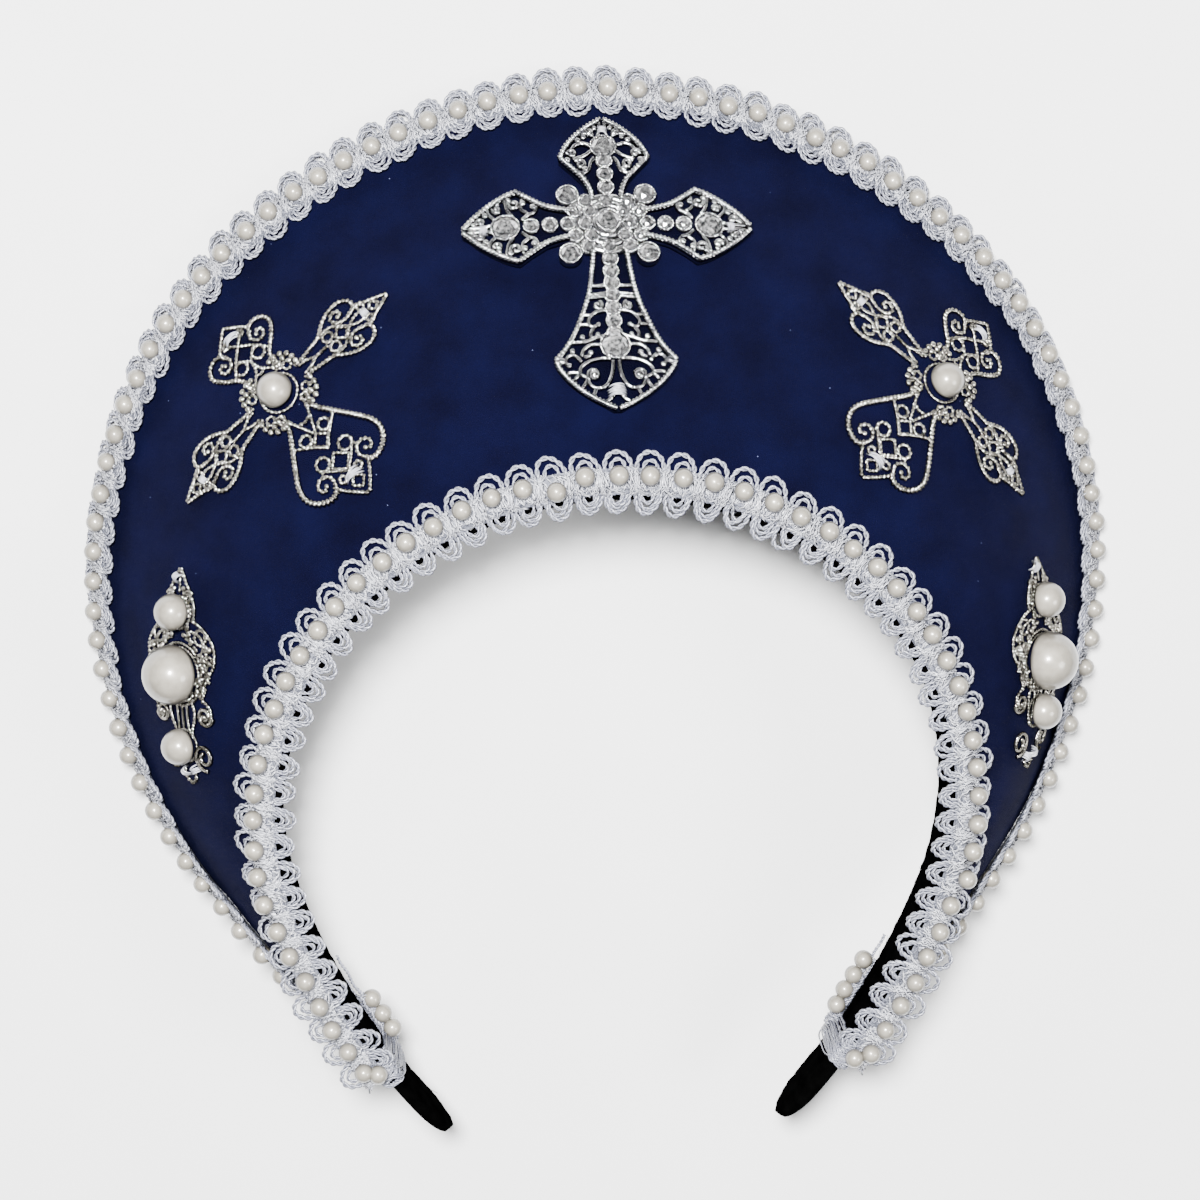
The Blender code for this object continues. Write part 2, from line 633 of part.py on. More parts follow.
def main():
    for thing in list(bpy.data.objects):
        bpy.data.objects.remove(thing, do_unlink=True)
    kit = Kit()
    make_headband(kit)
    make_panel(kit)
    make_face_trim(kit)
    make_rim_trim(kit)
    make_rim_string(kit)
    make_binding(kit, "binding_left", -1)
    make_binding(kit, "binding_right", 1)
    make_centre_cross(kit)
    make_filigree_cross(kit, "left", LEFT_CROSS)
    make_filigree_cross(kit, "right", RIGHT_CROSS)
    make_side_ornament(kit, "left", LEFT_SIDE, LEFT_LOW_PEARL)
    make_side_ornament(kit, "right", RIGHT_SIDE, RIGHT_LOW_PEARL)


if __name__ == "__main__":
    main()
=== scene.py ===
"""French hood: velvet crescent, pearl braid, silver crosses and side ornaments.

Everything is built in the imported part's own frame, in metres. The head frame is the plane of the
headband's front edge, leaned back onto the floor. A turn is an angle in degrees round the face, 0 at
the crown, past 90 on the cheeks and positive on the right.
"""
import logging
import math
from dataclasses import dataclass, field
from enum import Enum
from typing import Callable, Sequence

import bmesh
import bpy
import numpy as np
from mathutils import Matrix, Vector, noise


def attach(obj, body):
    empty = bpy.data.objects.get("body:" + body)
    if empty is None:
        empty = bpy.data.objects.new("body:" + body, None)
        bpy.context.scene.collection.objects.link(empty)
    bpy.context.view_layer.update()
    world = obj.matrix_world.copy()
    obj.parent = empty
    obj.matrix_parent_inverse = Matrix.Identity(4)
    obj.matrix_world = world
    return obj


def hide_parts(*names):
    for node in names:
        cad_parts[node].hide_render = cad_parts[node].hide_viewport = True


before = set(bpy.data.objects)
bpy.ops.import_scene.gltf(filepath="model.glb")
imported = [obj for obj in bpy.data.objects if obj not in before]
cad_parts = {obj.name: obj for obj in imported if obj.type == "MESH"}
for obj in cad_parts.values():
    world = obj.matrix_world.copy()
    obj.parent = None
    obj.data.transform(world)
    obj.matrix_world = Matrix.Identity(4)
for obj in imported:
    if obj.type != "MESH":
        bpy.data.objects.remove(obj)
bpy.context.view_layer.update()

LOG = logging.getLogger("french_hood")
MM = 0.001

Place = Callable[[np.ndarray], np.ndarray]


# Finishes


class Slot(Enum):
    """The record's material slots."""

    VELVET = "velvet"
    BAND = "band_cloth"
    BRAID = "braid"
    PEARL = "pearl"
    ANTIQUE = "antique_silver"
    BRIGHT = "bright_silver"


def linear(colour: str) -> tuple[float, float, float, float]:
    """Turns an sRGB hex colour to linear.

    Args:
        colour: Six hex digits after a hash sign.

    Returns:
        Red, green, blue and alpha in linear light.
    """
    parts = [int(colour[i:i + 2], 16) / 255 for i in (1, 3, 5)]
    return (*[p / 12.92 if p <= 0.04045 else ((p + 0.055) / 1.055) ** 2.4 for p in parts], 1.0)


def per_metre(size_mm: float) -> float:
    """How often a pattern of this size in millimetres repeats in a metre."""
    return 1.0 / (size_mm * MM)


def add_node(tree: bpy.types.NodeTree, kind: str, settings: dict | None = None,
             links: dict | None = None) -> bpy.types.Node:
    """Adds one node.

    Args:
        tree: The material's node tree.
        kind: Blender's name for the node.
        settings: Values for its properties or, where it has no such property, its inputs.
        links: Output sockets to join to its inputs.

    Returns:
        The node.
    """
    node = tree.nodes.new(kind)
    for key, value in (settings or {}).items():
        if isinstance(key, str) and hasattr(node, key):
            setattr(node, key, value)
        else:
            node.inputs[key].default_value = value
    for key, source in (links or {}).items():
        tree.links.new(source, node.inputs[key])
    return node


@dataclass(frozen=True)
class Finish:
    """What every finish has: a name, a slot of the record, a main colour and a roughness."""

    name: str
    slot: Slot
    colour: str
    roughness: float

    def material(self) -> bpy.types.Material:
        """The finish as a material, made the first time that it is asked for."""
        known = bpy.data.materials.get(self.name)
        if known:
            return known
        made = bpy.data.materials.new(self.name)
        made.use_nodes = True
        tree = made.node_tree
        shader = tree.nodes["Principled BSDF"]
        shader.inputs["Base Color"].default_value = linear(self.colour)
        shader.inputs["Roughness"].default_value = self.roughness
        self.dress(tree, shader)
        return made

    def dress(self, tree: bpy.types.NodeTree, shader: bpy.types.Node) -> None:
        """Adds the finish's own nodes."""

    def position(self, tree: bpy.types.NodeTree) -> bpy.types.NodeSocket:
        """The point's place on the object, in metres."""
        return add_node(tree, "ShaderNodeTexCoord").outputs["Object"]

    def grain(self, tree: bpy.types.NodeTree, size_mm: float, detail: float = 3.0,
              low: float = 0.0, high: float = 1.0) -> bpy.types.NodeSocket:
        """Noise of a real size.

        Args:
            tree: The material's node tree.
            size_mm: Size of the noise's blotches.
            detail: Octaves of finer noise.
            low: Value at the noise's dark end.
            high: Value at its light end.

        Returns:
            The value's socket.
        """
        cloud = add_node(tree, "ShaderNodeTexNoise", {"Scale": per_metre(size_mm), "Detail": detail},
                         {"Vector": self.position(tree)})
        spread = add_node(tree, "ShaderNodeMapRange",
                          {"From Min": 0.3, "From Max": 0.7, "To Min": low, "To Max": high},
                          {"Value": cloud.outputs["Fac"]})
        return spread.outputs["Result"]

    def two_tone(self, tree: bpy.types.NodeTree, factor: bpy.types.NodeSocket, first: str,
                 second: str) -> bpy.types.NodeSocket:
        """Mixes two colours by a factor.

        Args:
            tree: The material's node tree.
            factor: The share of the second colour.
            first: sRGB hex colour at 0.
            second: sRGB hex colour at 1.

        Returns:
            The colour's socket.
        """
        mix = add_node(tree, "ShaderNodeMix", {"data_type": "RGBA"}, {0: factor})
        mix.inputs[6].default_value = linear(first)
        mix.inputs[7].default_value = linear(second)
        return mix.outputs[2]

    def painted_edge_shade(self, tree: bpy.types.NodeTree, face: bpy.types.NodeSocket, rim: str, blend: float
               ) -> bpy.types.NodeSocket:
        """Painted shade: turns a colour to a shade colour where the surface curves away from the eye.

        Args:
            tree: The material's node tree.
            face: The colour seen head on.
            rim: sRGB hex colour of the painted shade at the edge.
            blend: How far the edge reaches in, 0 to 1.

        Returns:
            The colour's socket.
        """
        # Painted shade: the facing mask turns the colour to the rim colour where the surface turns away from
        # the eye.
        edge = add_node(tree, "ShaderNodeLayerWeight", {"Blend": blend})
        mix = add_node(tree, "ShaderNodeMix", {"data_type": "RGBA"}, {0: edge.outputs["Facing"], 6: face})
        mix.inputs[7].default_value = linear(rim)
        return mix.outputs[2]

    def bump(self, tree: bpy.types.NodeTree, shader: bpy.types.Node, height: bpy.types.NodeSocket,
             depth_mm: float) -> None:
        """Raises the surface by a height of 0 to 1 times a depth in millimetres."""
        raised = add_node(tree, "ShaderNodeBump", {"Strength": 1.0, "Distance": depth_mm * MM},
                          {"Height": height})
        tree.links.new(raised.outputs["Normal"], shader.inputs["Normal"])


@dataclass(frozen=True)
class CottonVelvet(Finish):
    """Cut cotton velvet: short upright pile, so the eye gets a deep colour and a pale edge sheen."""

    pile_mm: float = 0.22
    brushed_mm: float = 11.0
    lint_mm: float = 5.5
    shade: float = 1.0

    def dress(self, tree: bpy.types.NodeTree, shader: bpy.types.Node) -> None:
        """Brushed patches, pile, a little white lint, and a factor that darkens the colour as painted shade.

        Args:
            tree: The material's node tree.
            shader: Its surface shader.
        """
        patches = self.two_tone(tree, self.grain(tree, self.brushed_mm, 5.0), "#040416", "#080926")
        pile = self.two_tone(tree, self.grain(tree, self.pile_mm, 2.0, 0.0, 0.5), "#03030e", "#0a0b2e")
        cloth = add_node(tree, "ShaderNodeMix", {"data_type": "RGBA", 0: 0.35})
        tree.links.new(patches, cloth.inputs[6])
        tree.links.new(pile, cloth.inputs[7])
        cells = add_node(tree, "ShaderNodeTexVoronoi", {"Scale": per_metre(self.lint_mm)},
                         {"Vector": self.position(tree)})
        speck = add_node(tree, "ShaderNodeMath", {"operation": "LESS_THAN", 1: 0.022},
                         {0: cells.outputs["Distance"]})
        linted = add_node(tree, "ShaderNodeMix", {"data_type": "RGBA"}, {0: speck.outputs[0]})
        linted.inputs[7].default_value = linear("#5c6488")
        tree.links.new(cloth.outputs[2], linted.inputs[6])
        # Painted shade: the colour is scaled by a factor, 1 on the velvet and 0.45 on the pad under the
        # centre cross.
        shaded = add_node(tree, "ShaderNodeVectorMath", {"operation": "SCALE", "Scale": self.shade},
                          {0: linted.outputs[2]})
        tree.links.new(shaded.outputs[0], shader.inputs["Base Color"])
        shader.inputs["Specular IOR Level"].default_value = 0.03
        shader.inputs["Sheen Weight"].default_value = 0.02
        shader.inputs["Sheen Roughness"].default_value = 0.45
        shader.inputs["Sheen Tint"].default_value = linear("#4a58a8")
        self.bump(tree, shader, self.grain(tree, self.pile_mm, 2.0), 0.12)


@dataclass(frozen=True)
class BlackTwill(Finish):
    """Black polyester twill: fine slanting ribs, drawn 0.7 mm wide so that they show."""

    rib_mm: float = 0.7

    def dress(self, tree: bpy.types.NodeTree, shader: bpy.types.Node) -> None:
        """Ribs, and dust that greys the black a little."""
        ribs = add_node(tree, "ShaderNodeTexWave",
                        {"bands_direction": "DIAGONAL", "Scale": per_metre(self.rib_mm) / 3.2,
                         "Distortion": 1.5, "Detail": 2.0, "Detail Scale": 2.0},
                        {"Vector": self.position(tree)})
        tone = self.two_tone(tree, self.grain(tree, 3.0, 4.0), "#010101", "#040404")
        tree.links.new(tone, shader.inputs["Base Color"])
        shader.inputs["Specular IOR Level"].default_value = 0.0
        self.bump(tree, shader, ribs.outputs["Fac"], 0.03)


@dataclass(frozen=True)
class RayonGimp(Finish):
    """Bleached rayon yarn: silky filaments that catch the light along the twist."""

    filament_mm: float = 0.16
    # Painted shade: this grey darkens the yarn between its filaments; rim below is the colour of painted
    # shade at its edges.
    painted_valley_shade: str = "#a9abb6"
    relief_mm: float = 0.06
    rim: str = "#1f2230"

    def dress(self, tree: bpy.types.NodeTree, shader: bpy.types.Node) -> None:
        """White filaments with painted shade in the greyer valleys between them and at their edges, and a
        soft gloss.
        """
        # Painted shade: noise mixes the grey in between the filaments, and the edges darken to the rim
        # colour.
        tone = self.two_tone(tree, self.grain(tree, self.filament_mm * 2.2, 3.0), self.painted_valley_shade, self.colour)
        tree.links.new(self.painted_edge_shade(tree, tone, self.rim, 0.64), shader.inputs["Base Color"])
        shader.inputs["Specular IOR Level"].default_value = 0.9
        self.bump(tree, shader, self.grain(tree, self.filament_mm, 3.0), self.relief_mm)


@dataclass(frozen=True)
class PearlLacquer(Finish):
    """Imitation pearl: fish-scale lacquer under a clear coat, milky with a soft second gloss."""

    cloud_mm: float = 2.2

    def dress(self, tree: bpy.types.NodeTree, shader: bpy.types.Node) -> None:
        """Cream, with painted shade that darkens it to the edge."""
        cream = self.two_tone(tree, self.grain(tree, self.cloud_mm, 3.0), "#9a9488", "#b0aa9d")
        # Painted shade: the cream turns dark brown where the pearl turns away from the eye.
        tree.links.new(self.painted_edge_shade(tree, cream, "#12100d", 0.66), shader.inputs["Base Color"])
        shader.inputs["Metallic"].default_value = 0.10
        shader.inputs["Coat Weight"].default_value = 0.9
        shader.inputs["Coat Roughness"].default_value = 0.12
        self.bump(tree, shader, self.grain(tree, 0.8, 2.0), 0.006)


@dataclass(frozen=True)
class SilverPlate(Finish):
    """Silver plate on a cast alloy: bright where it faces the eye, with painted shade where it turns away and
    darker patches where it was tumbled.
    """

    dark: str = "#6f6c66"
    # edge is the colour of painted shade where the metal turns away from the eye.
    edge: str = "#1d1b18"
    patch_mm: float = 1.8
    pit_mm: float = 0.35
    pit_depth_mm: float = 0.05

    def dress(self, tree: bpy.types.NodeTree, shader: bpy.types.Node) -> None:
        """Patina, painted shade at the edges, casting pits and the gloss that goes with them."""
        tone = self.two_tone(tree, self.grain(tree, self.patch_mm, 4.0), self.dark, self.colour)
        # Painted shade: the metal darkens to the edge colour where it turns away from the eye.
        tree.links.new(self.painted_edge_shade(tree, tone, self.edge, 0.48), shader.inputs["Base Color"])
        shader.inputs["Metallic"].default_value = 1.0
        shader.inputs["Specular Tint"].default_value = linear("#54524e")
        gloss = self.grain(tree, self.patch_mm, 4.0, self.roughness + 0.12, self.roughness - 0.05)
        tree.links.new(gloss, shader.inputs["Roughness"])
        self.bump(tree, shader, self.grain(tree, self.pit_mm, 2.0), self.pit_depth_mm)


@dataclass(frozen=True)
class FoiledCrystal(Finish):
    """Clear glass with a silver foil behind: each facet throws back the room like a mirror."""

    def dress(self, tree: bpy.types.NodeTree, shader: bpy.types.Node) -> None:
        """Painted reflections as dark and bright flecks, as a cut stone mirrors a room, and painted shade at
        the edges, under a glassy coat.

        Args:
            tree: The material's node tree.
            shader: Its surface shader.
        """
        # Painted reflections: noise mixes dark grey and white flecks into the colour.
        tone = self.two_tone(tree, self.grain(tree, 0.7, 1.0), "#2c2f34", "#ffffff")
        # Painted shade: the colour turns near black at the edges.
        tree.links.new(self.painted_edge_shade(tree, tone, "#15171c", 0.42), shader.inputs["Base Color"])
        shader.inputs["Metallic"].default_value = 0.85
        shader.inputs["Coat Weight"].default_value = 1.0
        shader.inputs["Coat Roughness"].default_value = 0.02


@dataclass(frozen=True)
class PaintedFloor(Finish):
    """Matt studio board, nearly white."""

    def dress(self, tree: bpy.types.NodeTree, shader: bpy.types.Node) -> None:
        """A very faint unevenness."""
        tone = self.two_tone(tree, self.grain(tree, 60.0, 2.0), "#fafafa", "#ffffff")
        tree.links.new(tone, shader.inputs["Base Color"])
        shader.inputs["Specular IOR Level"].default_value = 0.1


VELVET = CottonVelvet("navy_cotton_velvet", Slot.VELVET, "#111845", 0.92)
TWILL = BlackTwill("black_polyester_twill", Slot.BAND, "#101011", 0.78)
# In these rayon finishes the darker grey and the rim colour are painted shade; the woven ground's whole grey
# colour is painted shade as well, for the gaps under the floss.
GIMP = RayonGimp("white_rayon_gimp", Slot.BRAID, "#b9bbc5", 0.24, relief_mm=0.02, painted_valley_shade="#74778a")
FLOSS = RayonGimp("crimped_rayon_floss", Slot.BRAID, "#dfe0e6", 0.22, relief_mm=0.02, painted_valley_shade="#b4b6c2")
WEAVE = RayonGimp("woven_rayon_ground", Slot.BRAID, "#8d909e", 0.50, filament_mm=0.30, painted_valley_shade="#555866",
                  relief_mm=0.12)
# Painted shadow: the velvet darkened to 0.45 for the dark pad under the centre cross, which stands for the
# shade seen through its piercings.
SHADOW_PAD = CottonVelvet("navy_shadow_pad", Slot.VELVET, "#06081a", 0.95, shade=0.45)
THREAD = RayonGimp("white_sewing_thread", Slot.BRAID, "#e8e8f2", 0.55, filament_mm=0.3)
PEARL = PearlLacquer("ivory_pearl_lacquer", Slot.PEARL, "#ece6dc", 0.34)
# Both silver finishes darken to their edge colour as painted shade.
ANTIQUE = SilverPlate("antique_silver_plate", Slot.ANTIQUE, "#e2ded6", 0.14, dark="#6b6860")
BRIGHT = SilverPlate("bright_silver_plate", Slot.BRIGHT, "#ffffff", 0.12, dark="#7c7d83", edge="#1c1c20",
                     pit_depth_mm=0.02)
CRYSTAL = FoiledCrystal("foiled_glass_stone", Slot.BRIGHT, "#eef0f4", 0.06)
FLOOR = PaintedFloor("matt_studio_board", Slot.BRAID, "#f4f4f4", 0.9)


# Meshes


@dataclass
class Shape:
    """Vertices and faces that are gathered into one mesh."""

    verts: list[np.ndarray] = field(default_factory=list)
    faces: list[list[int]] = field(default_factory=list)
    count: int = 0

    def add(self, verts: np.ndarray, faces: Sequence[Sequence[int]]) -> "Shape":
        """Adds vertices and the faces between them.

        Args:
            verts: Points, one per row.
            faces: Corners of each face, counted within verts.

        Returns:
            The shape.
        """
        verts = np.asarray(verts, float).reshape(-1, 3)
        self.faces += [[corner + self.count for corner in face] for face in faces]
        self.verts.append(verts)
        self.count += len(verts)
        return self

    def moved(self, place: Place) -> "Shape":
        """The same shape with its points put through place."""
        self.verts = [place(part) for part in self.verts]
        return self

    def build(self, name: str, finish: Finish, replaces: Sequence[str] = (), smooth: float = 180.0
              ) -> bpy.types.Object:
        """Makes the object, dresses it and ties it to the frame.

        Args:
            name: The piece's name.
            finish: Its finish.
            replaces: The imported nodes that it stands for.
            smooth: Faces that meet at less than this angle are shaded as one.

        Returns:
            The object.
        """
        mesh = bpy.data.meshes.new(name)
        mesh.from_pydata(np.concatenate(self.verts).tolist(), [], self.faces)
        mesh.materials.append(finish.material())
        mesh.shade_smooth()
        if smooth < 180.0:
            mesh.set_sharp_from_angle(angle=math.radians(smooth))
        piece = bpy.data.objects.new(name, mesh)
        bpy.context.scene.collection.objects.link(piece)
        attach(piece, "root")
        if replaces:
            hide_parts(*replaces)
        LOG.info("%s: %d faces", name, len(self.faces))
        return piece


def unit(vectors: np.ndarray) -> np.ndarray:
    """Vectors of length one."""
    return vectors / np.maximum(np.linalg.norm(vectors, axis=-1, keepdims=True), 1e-12)


def frames(paths: np.ndarray, closed: bool = False) -> tuple[np.ndarray, np.ndarray]:
    """Directions across a strand, level with the drawing plane and away from it.

    Args:
        paths: Strands of points, shaped strand, point, 3.
        closed: Whether each strand joins its own start.

    Returns:
        The level direction and the raised one, shaped as paths.
    """
    if closed:
        along = np.roll(paths, -1, axis=1) - np.roll(paths, 1, axis=1)
    else:
        along = np.gradient(paths, axis=1)
    along = unit(along)
    level = unit(np.cross(np.array([0.0, 0.0, 1.0]), along) + np.array([0.0, 1e-9, 0.0]))
    return level, np.cross(along, level)


def tubes(shape: Shape, paths: np.ndarray, width: np.ndarray | float, height: np.ndarray | float,
          sides: int = 4, closed: bool = False) -> None:
    """Sweeps an oval along strands.

    Args:
        shape: What to add them to.
        paths: Strands of points, shaped strand, point, 3.
        width: Half width of the oval, one for all or one per point.
        height: Half height of the oval, the same way.
        sides: Sides of the oval.
        closed: Whether each strand joins its own start.
    """
    paths = np.asarray(paths, float)
    if paths.ndim == 2:
        paths = paths[None]
    strands, points = paths.shape[:2]
    level, raised = frames(paths, closed)
    turn = (np.arange(sides) + 0.5) / sides * math.tau
    width = np.broadcast_to(np.asarray(width, float), (strands, points))[..., None, None]
    height = np.broadcast_to(np.asarray(height, float), (strands, points))[..., None, None]
    rings = (paths[:, :, None] + level[:, :, None] * np.cos(turn)[:, None] * width
             + raised[:, :, None] * np.sin(turn)[:, None] * height)
    start = (np.arange(strands) * points * sides)[:, None, None]
    steps = points if closed else points - 1
    here = (np.arange(steps) * sides)[None, :, None]
    ahead = ((np.arange(steps) + 1) % points * sides)[None, :, None]
    side, following = np.arange(sides), (np.arange(sides) + 1) % sides
    quads = np.stack([start + here + side, start + here + following, start + ahead + following,
                      start + ahead + side], -1).reshape(-1, 4).tolist()
    caps = []
    if not closed:
        first = np.arange(strands)[:, None] * points * sides + side[::-1]
        last = np.arange(strands)[:, None] * points * sides + (points - 1) * sides + side
        caps = first.tolist() + last.tolist()
    shape.add(rings.reshape(-1, 3), quads + caps)


def two_ply(shape: Shape, paths: np.ndarray, radius: float, twist: float,
            phase: np.ndarray | float = 0.0) -> None:
    """A cord of two twisted plies along strands.

    Args:
        shape: What to add it to.
        paths: Strands of points, shaped strand, point, 3.
        radius: Radius of the whole cord.
        twist: Length in which the plies go round once.
        phase: Where each strand's twist starts, in radians.
    """
    paths = np.asarray(paths, float)
    if paths.ndim == 2:
        paths = paths[None]
    level, raised = frames(paths)
    steps = np.linalg.norm(np.diff(paths, axis=1), axis=-1)
    run = np.concatenate([np.zeros((len(paths), 1)), np.cumsum(steps, axis=1)], axis=1)
    turn = run / twist * math.tau + np.reshape(phase, (-1, 1))
    for ply in (0.0, math.pi):
        across = np.cos(turn + ply)[..., None] * level + np.sin(turn + ply)[..., None] * raised
        tubes(shape, paths + across * radius * 0.50, radius * 0.54, radius * 0.54)


def resampled(points: Sequence[Sequence[float]], spacing: float, closed: bool = False) -> np.ndarray:
    """A smooth line through points, with its own points equally far apart.

    Args:
        points: Two or three coordinates per point.
        spacing: Distance between the new points.
        closed: Whether the line joins its own start.

    Returns:
        The new points.
    """
    knots = np.asarray(points, float)
    if closed:
        ends = (knots[-1], knots[0], knots[1])
        knots = np.concatenate([ends[0][None], knots, ends[1][None], ends[2][None]])
    else:
        knots = np.concatenate([[2 * knots[0] - knots[1]], knots, [2 * knots[-1] - knots[-2]]])
    share = np.linspace(0.0, 1.0, 12, endpoint=False)[:, None]
    line = []
    for a, b, c, d in zip(knots[:-3], knots[1:-2], knots[2:-1], knots[3:]):
        line.append(0.5 * (2 * b + (c - a) * share + (2 * a - 5 * b + 4 * c - d) * share ** 2
                           + (3 * b - a - 3 * c + d) * share ** 3))
    line = np.concatenate(line + [knots[-2][None]])
    run = np.concatenate([[0.0], np.cumsum(np.linalg.norm(np.diff(line, axis=0), axis=1))])
    count = max(int(round(run[-1] / spacing)), 3)
    stops = np.linspace(0.0, run[-1], count + 1)
    if closed:
        stops = stops[:-1]
    return np.stack([np.interp(stops, run, line[:, i]) for i in range(line.shape[1])], 1)


def swept(points: np.ndarray) -> Shape:
    """A closed section carried along a line, with both ends shut.

    Args:
        points: Points shaped step, point round the section, 3.

    Returns:
        The shape.
    """
    steps, count = points.shape[:2]
    first = np.arange(steps - 1)[:, None] * count
    row, following = np.arange(count), (np.arange(count) + 1) % count
    quads = np.stack([first + row, first + following, first + count + following, first + count + row], -1)
    ends = [list(range(count))[::-1], list(range((steps - 1) * count, steps * count))]
    return Shape().add(points, quads.reshape(-1, 4).tolist() + ends)


def smooth_run(t: np.ndarray | float, start: np.ndarray, into: np.ndarray, end: np.ndarray,
               away: np.ndarray) -> np.ndarray:
    """A smooth run between two values.

    Args:
        t: Shares of the way, 0 to 1.
        start: Value at the start.
        into: Slope at the start, over the whole run.
        end: Value at the end.
        away: Slope at the end, over the whole run.

    Returns:
        The values at those shares.
    """
    return ((2 * t ** 3 - 3 * t ** 2 + 1) * start + (t ** 3 - 2 * t ** 2 + t) * into
            + (3 * t ** 2 - 2 * t ** 3) * end + (t ** 3 - t ** 2) * away)


def squared_oval(bend: np.ndarray, across: float, through: float) -> tuple[np.ndarray, np.ndarray]:
    """Points round an oval squared off by two powers, as shares of its half sizes."""
    wide = np.sign(np.cos(bend)) * np.abs(np.cos(bend)) ** across
    thick = np.sign(np.sin(bend)) * np.abs(np.sin(bend)) ** through
    return wide, thick


def ball(detail: int) -> tuple[np.ndarray, list[list[int]]]:
    """A round ball of radius one.

    Args:
        detail: How finely it is divided.

    Returns:
        Its points and triangles.
    """
    mesh = bpy.data.meshes.new("ball")
    form = bmesh.new()
    bmesh.ops.create_icosphere(form, subdivisions=detail, radius=1.0)
    form.to_mesh(mesh)
    form.free()
    points = np.array([v.co for v in mesh.vertices])
    faces = [list(p.vertices) for p in mesh.polygons]
    bpy.data.meshes.remove(mesh)
    return points, faces


@dataclass(frozen=True)
class Section:
    """The panel at one turn: reach and rise of its rim, and its leans at band and rim."""

    turn: float
    reach: float
    rise: float
    lean_in: float
    lean_out: float


